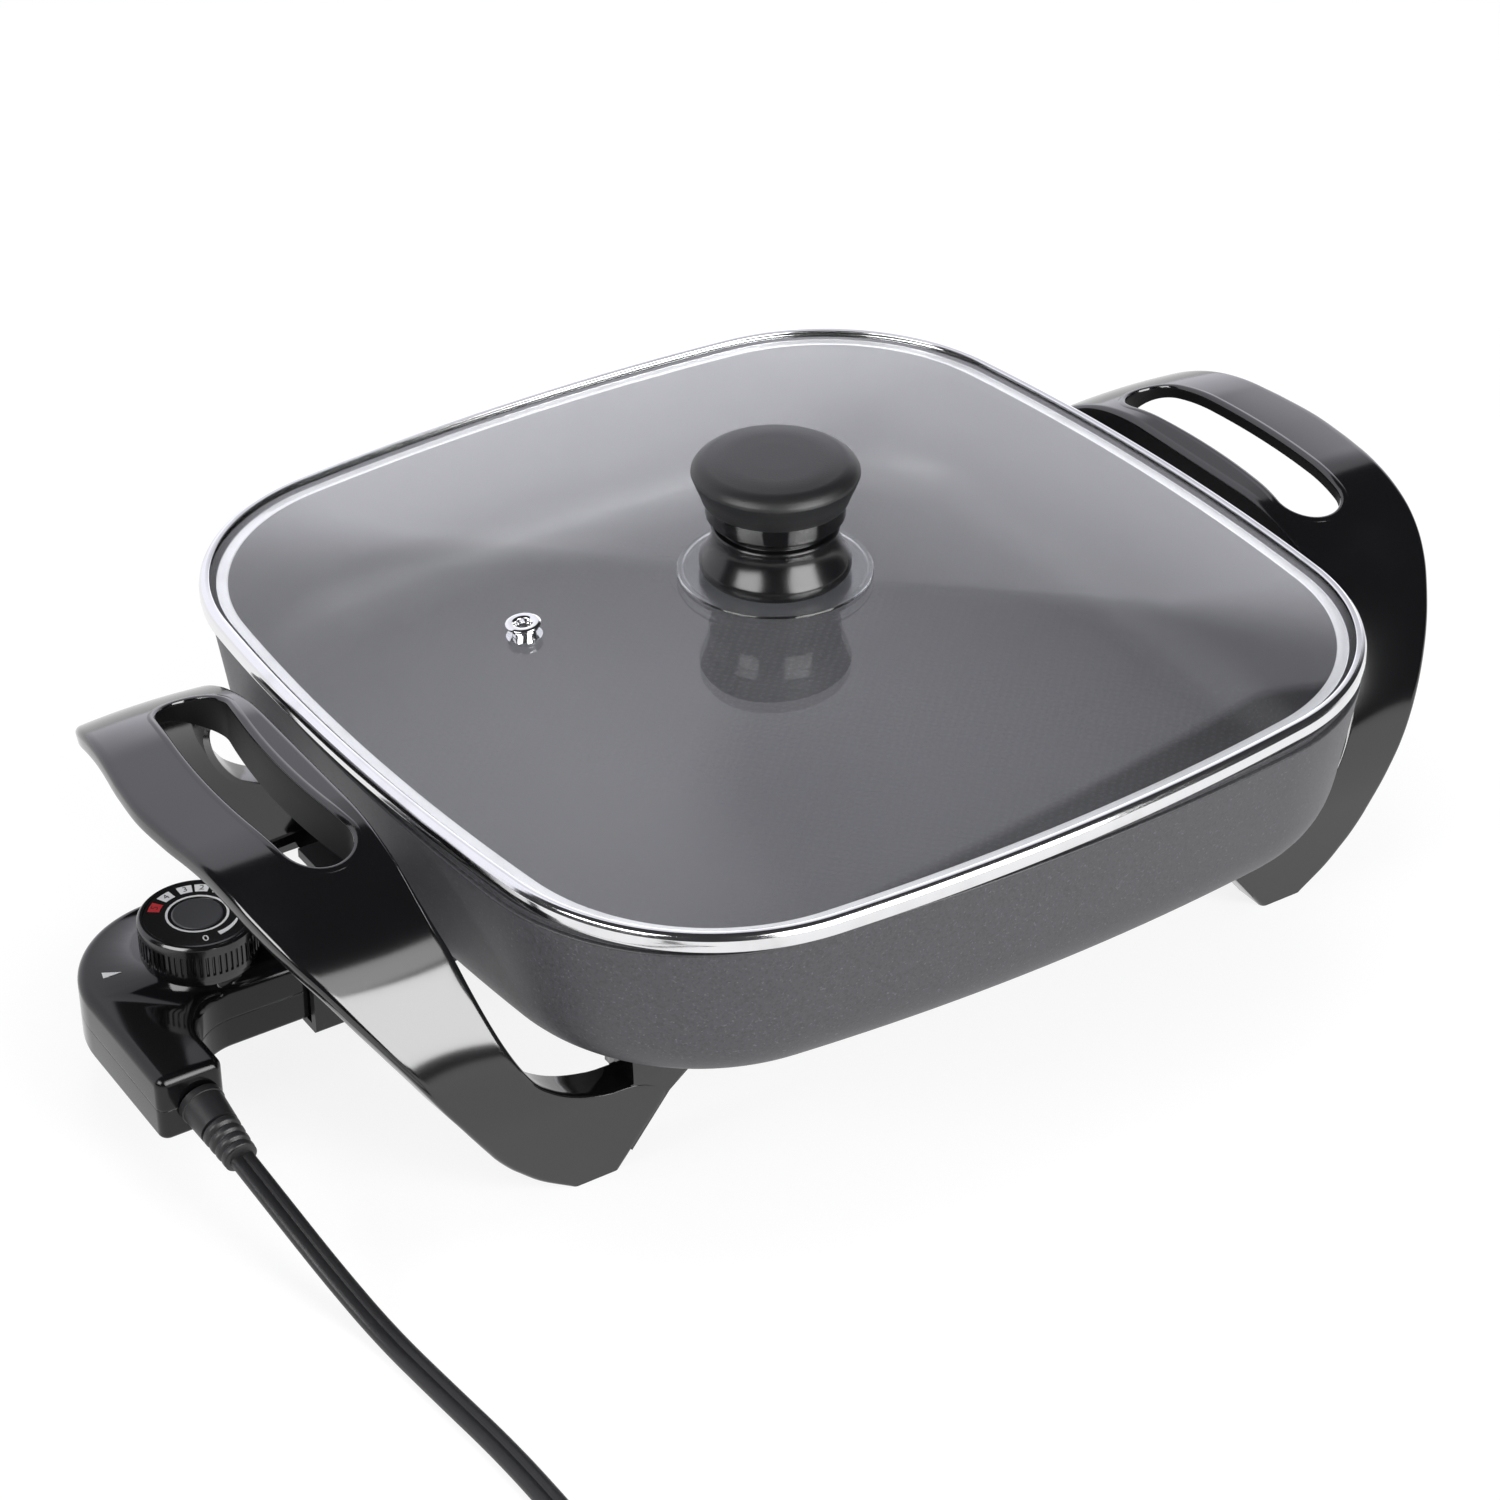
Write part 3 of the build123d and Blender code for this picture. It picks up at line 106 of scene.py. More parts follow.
class Shader:
    """One material's node tree, with its Principled BSDF already linked to the output."""

    def __init__(self, name: str, world: World | None = None) -> None:
        """Makes the material under a name, or takes over a world's nodes."""
        self.material = world or bpy.data.materials.new(name)
        self.material.use_nodes = True
        self.tree = self.material.node_tree
        self.bsdf = self.tree.nodes.get("Principled BSDF")
        self.place = self.node("ShaderNodeTexCoord").outputs["Object"]

    def node(self, kind: str, sockets: Mapping[Any, Any] | None = None, **settings: Any) -> Node:
        """Adds a node.

        Args:
            kind: the node's type.
            sockets: values or links of its inputs, by name or number.
            settings: its own settings, such as operation or data_type.

        Returns:
            The node.
        """
        node = self.tree.nodes.new(kind)
        for key, value in settings.items():
            setattr(node, key, value)
        for key, value in (sockets or {}).items():
            self.feed(node.inputs[key], value)
        return node

    def feed(self, socket: NodeSocket, value: Any) -> None:
        """Links an input to a Value or an output, or sets it to a number or a colour."""
        if isinstance(value, Value):
            value = value.socket
        if isinstance(value, NodeSocket):
            self.tree.links.new(value, socket)
        elif isinstance(value, tuple) and socket.type == "RGBA":
            socket.default_value = (*value, 1.0)
        else:
            socket.default_value = value

    def noise(
        self, scale: float, detail: float = 2.0, stretch: Point | None = None, place: Any = None
    ) -> Value:
        """Soft noise over the object.

        Args:
            scale: cells in a metre.
            detail: octaves.
            stretch: scale of each axis, for grain that runs one way.
            place: coordinates other than the object's own.

        Returns:
            The noise, about 0.5.
        """
        place = place or self.place
        if stretch:
            place = self.node("ShaderNodeMapping", {"Vector": place, "Scale": stretch}).outputs[0]
        sockets = {"Vector": place, "Scale": scale, "Detail": detail}
        return Value(self, self.node("ShaderNodeTexNoise", sockets).outputs["Fac"])

    def cells(self, scale: float) -> Value:
        """A random number for each small cell of the object, cells in a metre given by scale."""
        node = self.node("ShaderNodeTexVoronoi", {"Vector": self.place, "Scale": scale})
        apart = self.node("ShaderNodeSeparateColor", {0: node.outputs["Color"]})
        return Value(self, apart.outputs[0])

    def axes(self, vector: NodeSocket) -> list[Value]:
        """X, Y and Z of a vector."""
        apart = self.node("ShaderNodeSeparateXYZ", {0: vector})
        return [Value(self, output) for output in apart.outputs]

    def rays(self) -> list[Value]:
        """Whether a ray is the camera's, one in gloss, and one through glass."""
        path = self.node("ShaderNodeLightPath").outputs
        kinds = "Camera", "Glossy", "Transmission"
        return [Value(self, path[f"Is {kind} Ray"]) for kind in kinds]

    def mix(self, share: Any, first: Any, second: Any) -> NodeSocket:
        """Colour between two colours, by a share."""
        sockets = {0: share, 6: first, 7: second}
        return self.node("ShaderNodeMix", sockets, data_type="RGBA").outputs[2]

    def bump(self, height: Value, strength: float, depth: float, edge: float = 0.0) -> None:
        """Raises the surface by a height and rounds its edges.

        Args:
            height: the pattern, from 0 to 1.
            strength: how much of it shows.
            depth: metres for a height of 1.
            edge: radius in metres that sharp edges look rounded to, or none.
        """
        sockets = {"Strength": strength, "Distance": depth, "Height": height}
        if edge:
            sockets["Normal"] = self.node("ShaderNodeBevel", {"Radius": edge}, samples=4).outputs[0]
        self.set(Normal=self.node("ShaderNodeBump", sockets).outputs[0])

    def set(self, **sockets: Any) -> None:
        """Sets the Principled BSDF's sockets, their names with _ for a space."""
        for key, value in sockets.items():
            self.feed(self.bsdf.inputs[key.replace("_", " ")], value)


# ---- Finishes ----


def grey(level: float, blue: float) -> Colour:
    """Grey with its blue given apart."""
    return level, level, blue


@dataclass(frozen=True)
class Look:
    """A finish's name and material; each kind of finish paints its own."""

    name: str

    def paint(self, shader: Shader) -> None:
        """Sets the shader's sockets."""
        raise NotImplementedError

    def material(self) -> Material:
        """The material, made once."""
        if self.name not in bpy.data.materials:
            self.paint(Shader(self.name))
        return bpy.data.materials[self.name]


@dataclass(frozen=True)
class Coating(Look):
    """Non-stick coating: charcoal with fine pale and dark flecks, as sprayed over a cast pan."""

    base: Colour = (0.056, 0.0555, 0.0625)
    pale: Colour = (0.120, 0.119, 0.130)
    dark: Colour = grey(0.028, 0.031)
    fleck_scale: float = 1500.0
    roughness: float = 0.40
    dimples: float = 0.0        # metres between the rows of a pressed pattern, or none
    depth: float = 0.00006      # of the relief

    def paint(self, shader: Shader) -> None:
        """Base mixed with flecks where a cell's random number is high or low, over slow clouds."""
        fleck = shader.cells(self.fleck_scale)
        fine = shader.noise(1300.0, 3.0)
        cloud = shader.noise(14.0)
        pale = fleck.ramp(0.62, 1.0) * fine.ramp(0.45, 0.75)
        dark = (1 - fleck).ramp(0.55, 1.0) * 0.6
        colour = shader.mix(pale, shader.mix(dark, self.base, self.dark), self.pale)
        relief = fine * 0.6 + fleck * 0.4
        if self.dimples:
            across, along, _ = shader.axes(shader.place)
            waves = (across * (pi / self.dimples)).sine() * (along * (pi / self.dimples)).sine()
            relief = relief * 0.3 + waves.ramp(0.15, 0.75)
            colour = shader.mix(relief * 0.22, colour, self.pale)
        shader.set(
            Base_Color=colour,
            Roughness=self.roughness + 0.08 * cloud + 0.10 * fleck,
            Metallic=0.0,
            Specular_IOR_Level=0.62,
        )
        shader.bump(relief, 0.35, self.depth)


@dataclass(frozen=True)
class Moulded(Look):
    """Moulded plastic, from high gloss to a fine spark-eroded grain."""

    colour: Colour
    roughness: float
    unevenness: float = 0.05
    grain: float = 0.0          # depth in metres
    grain_scale: float = 2600.0
    edge: float = 0.0           # radius that its edges look rounded to
    specular: float = 0.5
    worn: Colour = grey(0.020, 0.022)

    def paint(self, shader: Shader) -> None:
        """Colour lifted by slow handling marks; roughness from smears; bump from the grain."""
        smear = shader.noise(22.0, 4.0)
        shader.set(
            Base_Color=shader.mix(smear.ramp(0.5, 0.9) * 0.35, self.colour, self.worn),
            Roughness=self.roughness + self.unevenness * smear,
            Specular_IOR_Level=self.specular,
        )
        if self.grain:
            shader.bump(shader.noise(self.grain_scale), 0.6, self.grain, self.edge)
        else:
            shader.bump(shader.noise(55.0, 1.0), 0.10, 0.00012, self.edge)


@dataclass(frozen=True)
class Metal(Look):
    """Bare metal with drawn or turned fine lines."""

    colour: Colour
    roughness: float
    unevenness: float
    stretch: Point = (1.0, 1.0, 1.0)
    tarnish: Colour = (0.46, 0.45, 0.44)
    lines: float = 900.0

    def paint(self, shader: Shader) -> None:
        """Colour and roughness change along fine lines and slow stains."""
        line = shader.noise(self.lines, 3.0, self.stretch)
        stain = shader.noise(60.0, 3.0)
        shader.set(
            Base_Color=shader.mix(stain.ramp(0.45, 0.85) * 0.35, self.colour, self.tarnish),
            Metallic=1.0,
            Roughness=self.roughness + self.unevenness * line * stain,
        )
        shader.bump(line, 0.12, 0.00004)


@dataclass(frozen=True)
class Clear(Look):
    """Clear toughened glass or clear plastic, with faint haze."""

    tint: Colour = (0.965, 0.972, 0.972)
    roughness: float = 0.0
    haze: float = 0.02
    ior: float = 1.47

    def paint(self, shader: Shader) -> None:
        """Transmission with a tint, and roughness that rises where it has been wiped."""
        wipe = shader.noise(16.0, 3.0, (1.0, 2.5, 1.0))
        shader.set(
            Base_Color=shader.mix(wipe.ramp(0.4, 0.9) * 0.15, self.tint, (0.93, 0.94, 0.945)),
            Roughness=self.roughness + self.haze * wipe.ramp(0.5, 0.9),
            IOR=self.ior,
            Transmission_Weight=1.0,
        )


@dataclass(frozen=True)
class Ink(Look):
    """Printed mark on plastic: flat, slightly broken at a fine scale."""

    colour: Colour
    roughness: float = 0.45

    def paint(self, shader: Shader) -> None:
        """Ink colour, a little darker in fine specks."""
        speck = shader.noise(3200.0)
        darker = tuple(0.72 * part for part in self.colour)
        shader.set(
            Base_Color=shader.mix(speck.ramp(0.55, 0.85), self.colour, darker),
            Roughness=self.roughness + 0.15 * speck,
        )
        shader.bump(speck, 0.3, 0.00002)


@dataclass(frozen=True)
class Sheath(Look):
    """Rubber-like cord sheath with faint lengthwise drawing lines."""

    colour: Colour = grey(0.0095, 0.0105)
    dusty: Colour = grey(0.024, 0.026)
    roughness: float = 0.36

    def paint(self, shader: Shader) -> None:
        """Lines follow the cord by its own UV map: many around, few along."""
        uv = shader.node("ShaderNodeUVMap", uv_map="UVMap").outputs[0]
        line = shader.noise(1.0, 3.0, (6.0, 90.0, 1.0), uv)
        dust = shader.noise(420.0, 3.0)
        shader.set(
            Base_Color=shader.mix(dust.ramp(0.55, 0.85) * 0.5, self.colour, self.dusty),
            Roughness=self.roughness + 0.14 * line,
        )
        shader.bump(line, 0.35, 0.00012)


INNER = {"base": grey(0.027, 0.0305), "pale": (0.075, 0.074, 0.083), "dark": grey(0.013, 0.015)}


class Finish(Enum):
    """The finishes of the skillet's pieces."""

    COATING = Coating("nonstick_coating")
    INSIDE = Coating("nonstick_inside", **INNER)
    FLOOR = Coating("nonstick_floor", **INNER, dimples=0.0019, depth=0.00012)
    GLOSS = Moulded("gloss_handle_plastic", grey(0.0045, 0.005), 0.09, specular=0.85)
    HOUSING = Moulded(
        "gloss_housing_plastic", grey(0.0045, 0.005), 0.08, edge=0.0007, specular=0.36)
    GUARD = Moulded("guard_wall_plastic", grey(0.005, 0.0055), 0.45, 0.08, specular=0.12)
    MATTE = Moulded(
        "matte_knob_plastic", grey(0.0085, 0.0093), 0.36, 0.10, 0.00009, 2100.0,
        worn=grey(0.030, 0.032))
    BELL = Moulded("satin_knob_plastic", grey(0.0055, 0.006), 0.17, 0.08, 0.000025, 2300.0)
    SATIN = Moulded(
        "satin_dial_plastic", grey(0.006, 0.0066), 0.13, 0.08, 0.00001, 3000.0, specular=0.7)
    SHROUD = Moulded(
        "heat_resistant_plastic", grey(0.013, 0.014), 0.36, 0.14, 0.00004, 1800.0,
        worn=grey(0.032, 0.034))
    CAP = Moulded(
        "grey_dial_cap", (0.052, 0.053, 0.057), 0.38, 0.08, 0.00002, 3000.0,
        worn=grey(0.07, 0.075))
    CERAMIC = Moulded(
        "ceramic", (0.72, 0.70, 0.66), 0.45, 0.12, 0.00005, 900.0, worn=(0.55, 0.52, 0.47))
    LEAD = Moulded(
        "lead_cover", (0.55, 0.53, 0.50), 0.50, 0.15, 0.00006, 1500.0, worn=(0.38, 0.35, 0.31))
    RIM = Metal("polished_rim_steel", grey(0.80, 0.81), 0.10, 0.10)
    FLANGE = Metal("brushed_flange_steel", grey(0.80, 0.81), 0.42, 0.15)
    CHROME = Metal("bright_eyelet", grey(0.82, 0.83), 0.06, 0.08)
    SCREW = Metal("zinc_screw_steel", (0.60, 0.61, 0.62), 0.26, 0.20, lines=1500.0)
    ELEMENT = Metal(
        "element_sheath", (0.30, 0.29, 0.28), 0.40, 0.25, (1.0, 1.0, 3.0), (0.14, 0.11, 0.09),
        700.0)
    PIN = Metal("nickel_pin", (0.66, 0.64, 0.60), 0.18, 0.16, (0.2, 3.0, 3.0))
    BRASS = Metal("brass", (0.70, 0.50, 0.22), 0.22, 0.18, (0.3, 3.0, 3.0), (0.42, 0.28, 0.12))
    PROBE = Metal("stainless_probe", grey(0.62, 0.62), 0.20, 0.20, (0.2, 3.0, 3.0))
    GLASS = Clear("toughened_glass")
    SEAT = Clear("clear_seat", (0.86, 0.87, 0.88), 0.12, 0.10, 1.42)
    WHITE = Ink("white_ink", grey(0.80, 0.80))
    RED = Ink("red_ink", (0.58, 0.028, 0.035))
    DARK_INK = Ink("dark_ink", grey(0.02, 0.022))
    SHEATH = Sheath("cord_sheath")

    def material(self) -> Material:
        """The finish's material."""
        return self.value.material()


# ---- Curves and surfaces ----


def circle(count: int) -> Array:
    """Angles of a full turn, in equal steps."""
    return np.arange(count) * 2 * pi / count


def polar(radius: Any, angle: Array, centre: Any = 0.0) -> Array:
    """Points at radii and angles about a centre, their two coordinates on the last axis."""
    return centre + np.stack([radius * np.cos(angle), radius * np.sin(angle)], -1)


def rotated(points: Array, angle: float) -> Array:
    """Flat points turned about their origin by an angle in radians."""
    return points @ np.array([[cos(angle), sin(angle)], [-sin(angle), cos(angle)]])


def squared(wave: Array, power: Any) -> Array:
    """A sine or cosine raised to a power, its sign kept, which squares up a circle."""
    return np.sign(wave) * np.abs(wave) ** power


def smoothstep(share: Array) -> Array:
    """A share from 0 to 1, eased at both ends: 3 s^2 - 2 s^3."""
    return share**2 * (3 - 2 * share)


def metres(x: Any, y: Any, z: Any) -> Array:
    """Points in metres from coordinates in millimetres, which are spread to one shape."""
    return np.stack(np.broadcast_arrays(x, y, z), -1) * MM


def eased(at: Array, knots: Array, values: Array) -> Array:
    """Smooth curve through knots that never overshoots them.

    Each span is a cubic whose end slopes are the harmonic mean of the slopes on both sides of the
    knot, or flat where those differ in sign.

    Args:
        at: places to read the curve at.
        knots: the knots' places, rising.
        values: the knots' values.

    Returns:
        The curve's values.
    """
    step = np.diff(knots)
    slope = np.diff(values) / step
    product = slope[:-1] * slope[1:]
    total = slope[:-1] + slope[1:]
    inner = np.where(product > 0, 2 * product / np.where(product > 0, total, 1), 0)
    lean = np.concatenate([slope[:1], inner, slope[-1:]])
    span = np.clip(np.searchsorted(knots, at) - 1, 0, len(step) - 1)
    wide = step[span]
    t = (at - knots[span]) / wide
    return (
        values[span] * (1 + 2 * t) * (1 - t) ** 2
        + lean[span] * wide * t * (1 - t) ** 2
        + values[span + 1] * t**2 * (3 - 2 * t)
        - lean[span + 1] * wide * t**2 * (1 - t)
    )


def rounded_profile(
    points: Sequence[Point], steps: int = 7, origin: Pair = (0.0, 0.0)
) -> Array:
    """Polyline whose corners are replaced by arcs.

    A corner with radius r is cut off r * tan(turn / 2) before and after it, and a quadratic curve
    with the corner as its middle control point joins the two cuts.

    Args:
        points: places with the radius at each, as (a, b, radius).
        steps: points of each arc.
        origin: place that the points are measured from.

    Returns:
        The profile's points, two columns.
    """
    spots = np.array(points, float)
    place, radius = spots[:, :2] + origin, spots[:, 2]
    rows = [place[:1]]
    share = np.linspace(0, 1, steps)[:, None]
    for index in range(1, len(spots) - 1):
        corner = place[index]
        back, ahead = place[index - 1] - corner, place[index + 1] - corner
        lengths = np.linalg.norm(back), np.linalg.norm(ahead)
        back, ahead = back / lengths[0], ahead / lengths[1]
        half = np.arccos(np.clip(-back @ ahead, -1, 1)) / 2
        cut = min(radius[index] * np.tan(half), 0.49 * min(lengths))
        if cut < 1e-6:
            rows.append(corner[None])
            continue
        first, last = corner + back * cut, corner + ahead * cut
        rows.append((1 - share) ** 2 * first + 2 * share * (1 - share) * corner + share**2 * last)
    rows.append(place[-1:])
    return np.concatenate(rows)


@dataclass(frozen=True)
class SquareOutline:
    """Square with bulged sides and round corners, worked out by its outward normal's direction.

    A side is an arc about a far centre, and a corner an arc about the core's corner. Growing the
    outline moves each point along its normal.
    """

    side_points: int
    corner_points: int
    core: float = 74.7
    bulge: float = 4.17
    smallest: float = 96.0      # half below which the outline shrinks to the middle

    def ring(self, half: float) -> Array:
        """The outline that is half wide from middle to side, as columns by 2, in millimetres."""
        far = (self.core**2 + self.bulge**2) / (2 * self.bulge)
        reach = self.core + self.bulge
        lean = np.arcsin(self.core / far)
        grow = half - reach
        side = np.linspace(-lean, lean, self.side_points, endpoint=False)
        corner = np.linspace(lean, pi / 2 - lean, self.corner_points, endpoint=False)
        quarter = np.concatenate(
            [polar(far + grow, side, (reach - far, 0.0)), polar(grow, corner, self.core)])
        return np.concatenate([rotated(quarter, turn) for turn in circle(4)])

    def surface(self, profile: Array, turn: float = 0.0) -> Array:
        """Profile of (half, height) carried round the outline.

        Args:
            profile: rows by 2, in millimetres.
            turn: radians that the whole is turned by.

        Returns:
            Rows by columns by 3, in metres.
        """
        half = np.maximum(profile[:, 0], self.smallest)
        rings = np.stack([self.ring(value) for value in half])
        flat = rotated(rings * (profile[:, 0] / half)[:, None, None], turn)
        return metres(PAN_X + flat[..., 0], flat[..., 1], profile[:, 1:])


def lathe(profile: Array, centre: Pair, count: int = 96) -> Array:
    """Profile of (radius, height) turned about an upright axis.

    Args:
        profile: rows by 2, in millimetres.
        centre: the axis's x and y, in millimetres.
        count: columns around.

    Returns:
        Rows by columns by 3, in metres.
    """
    flat = polar(profile[:, :1], circle(count), centre)
    return metres(flat[..., 0], flat[..., 1], profile[:, 1:])


def turned_about(profile: Array, origin: Array, way: Array, count: int = 64) -> Array:
    """Profile of (distance along, radius) turned about a leaning axis.

    Args:
        profile: rows by 2, in millimetres.
        origin: the axis's start, in millimetres.
        way: its direction.
        count: columns around.

    Returns:
        Rows by columns by 3, in metres.
    """
    way = way / np.linalg.norm(way)
    side = np.cross(way, (0, 0, 1.0))
    side /= np.linalg.norm(side)
    spoke = polar(1.0, circle(count)) @ np.stack([side, np.cross(side, way)])
    return (origin + profile[:, :1, None] * way + profile[:, 1:, None] * spoke) * MM


# ---- Meshes and pieces ----


def tidy(mesh: Mesh, merge: float = 1e-7, angle: float = 32.0, turn: bool = True) -> Mesh:
    """Merges a mesh's doubles, turns its faces outwards and shades it smooth.

    Args:
        mesh: the mesh, changed in place.
        merge: distance in metres within which points are one.
        angle: degrees from which an edge stays sharp.
        turn: whether to turn the faces.

    Returns:
        The mesh.
    """
    work = bmesh.new()
    work.from_mesh(mesh)
    bmesh.ops.remove_doubles(work, verts=work.verts, dist=merge)
    bmesh.ops.dissolve_degenerate(work, edges=work.edges, dist=merge)
    if turn:
        bmesh.ops.recalc_face_normals(work, faces=work.faces)
    work.to_mesh(mesh)
    work.free()
    mesh.polygons.foreach_set("use_smooth", np.ones(len(mesh.polygons), bool))
    mesh.set_sharp_from_angle(angle=radians(angle))
    mesh.update()
    return mesh


def quad_mesh(name: str, points: Array, quads: Array) -> Mesh:
    """Mesh of points (count by 3, metres) and quads (count by 4, point numbers)."""
    mesh = bpy.data.meshes.new(name)
    mesh.from_pydata(points.tolist(), [], quads.tolist())
    return mesh


def grid_quads(row: Array, column: Array, rows: int, columns: int) -> Array:
    """Point numbers of the quads that start at given rows and columns of a grid that wraps."""
    below, beside = (row + 1) % rows, (column + 1) % columns
    corners = (row, column), (row, beside), (below, beside), (below, column)
    return np.stack([down * columns + right for down, right in corners], 1)


def grid_mesh(
    name: str, points: Array, around: bool = True, closed: bool = False, uv: Array | None = None
) -> Mesh:
    """Mesh of a surface given on a grid.

    Args:
        name: the mesh's name.
        points: rows by columns by 3, in metres.
        around: whether the last column joins the first.
        closed: whether the last row joins the first.
        uv: rows + closed by columns + around by 2, or none.

    Returns:
        The mesh, tidied.
    """
    rows, columns = points.shape[:2]
    row, column = np.meshgrid(
        np.arange(rows - (not closed)), np.arange(columns - (not around)), indexing="ij")
    row, column = row.ravel(), column.ravel()
    mesh = quad_mesh(name, points.reshape(-1, 3), grid_quads(row, column, rows, columns))
    if uv is not None:
        corners = (0, 0), (0, 1), (1, 1), (1, 0)
        corner = np.stack([uv[row + down, column + right] for down, right in corners], 1)
        layer = mesh.uv_layers.new(name="UVMap")
        layer.data.foreach_set("uv", corner.astype(np.float32).ravel())
    return tidy(mesh)


def curve_mesh(curve: bpy.types.Curve) -> Mesh:
    """Mesh of a curve or a text."""
    holder = bpy.data.objects.new("holder", curve)
    mesh = bpy.data.meshes.new_from_object(holder)
    mesh.name = curve.name
    bpy.data.objects.remove(holder)
    return mesh


def read_vectors(items: Any, field: str) -> Array:
    """A vector field of a mesh's vertices or faces, as rows by 3."""
    values = np.zeros(len(items) * 3, np.float32)
    items.foreach_get(field, values)
    return values.reshape(-1, 3)


def add_object(name: str, data: bpy.types.ID) -> Object:
    """Puts an object with its data into the scene."""
    item = bpy.data.objects.new(name, data)
    bpy.context.scene.collection.objects.link(item)
    return item


def add_piece(
    name: str, mesh: Mesh, body: str, finish: Finish, slot: str, replaces: Sequence[str] = ()
) -> Object:
    """Puts a finished piece into the scene.

    Args:
        name: the piece's name.
        mesh: its mesh, in place.
        body: the CAD body that it rides on.
        finish: its finish.
        slot: a material slot's name; not used.
        replaces: CAD nodes that it stands for.

    Returns:
        The piece.
    """
    piece = add_object(name, mesh)
    mesh.materials.clear()
    mesh.materials.append(finish.material())
    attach(piece, body)
    if replaces:
        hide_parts(*replaces)
    log.info("%s: %d faces on %s", name, len(mesh.polygons), body)
    return piece


def add_surface(
    name: str, points: Array, body: str, finish: Finish, slot: str,
    replaces: Sequence[str] = (), **grid: Any
) -> Object:
    """Puts a surface given on a grid into the scene as a piece; grid goes on to grid_mesh."""
    return add_piece(name, grid_mesh(name, points, **grid), body, finish, slot, replaces)


def further_finish(piece: Object, finish: Finish, where: Callable[[Array], Array]) -> None:
    """Gives a piece a further finish on the faces that a test of their upward normals picks."""
    mesh = piece.data
    mesh.materials.append(finish.material())
    index = np.zeros(len(mesh.polygons), np.int32)
    mesh.polygons.foreach_get("material_index", index)
    index[where(read_vectors(mesh.polygons, "normal")[:, 2])] = len(mesh.materials) - 1
    mesh.polygons.foreach_set("material_index", index)


# ---- Studio ----


def aim(item: Object, place: Point, target: Point) -> None:
    """Puts a camera or a lamp at a place and turns it to its target."""
    item.location = place
    way = Vector(target) - item.location
    item.rotation_euler = way.to_track_quat("-Z", "Y").to_euler()


@dataclass(frozen=True)
class Lamp:
    """Soft rectangular lamp that faces the skillet, or a card that only gloss shows."""

    name: str
    turn: float                 # direction from the skillet, degrees from +X towards +Y
    rise: float                 # its height as an angle, degrees
    distance: float             # metres
    size: Pair
    power: float                # watts
    card: bool = False
    target: Point = (0.0, 0.0, 0.06)

    def build(self) -> None:
        """Makes the lamp."""
        data = bpy.data.lights.new(self.name, "AREA")
        data.shape = "RECTANGLE"
        data.size, data.size_y = self.size
        data.energy = self.power
        lamp = add_object(self.name, data)
        lamp.visible_glossy = self.card
        lamp.visible_diffuse = not self.card
        turn, rise = radians(self.turn), radians(self.rise)
        way = Vector((cos(rise) * cos(turn), cos(rise) * sin(turn), sin(rise)))
        aim(lamp, Vector(self.target) + self.distance * way, self.target)


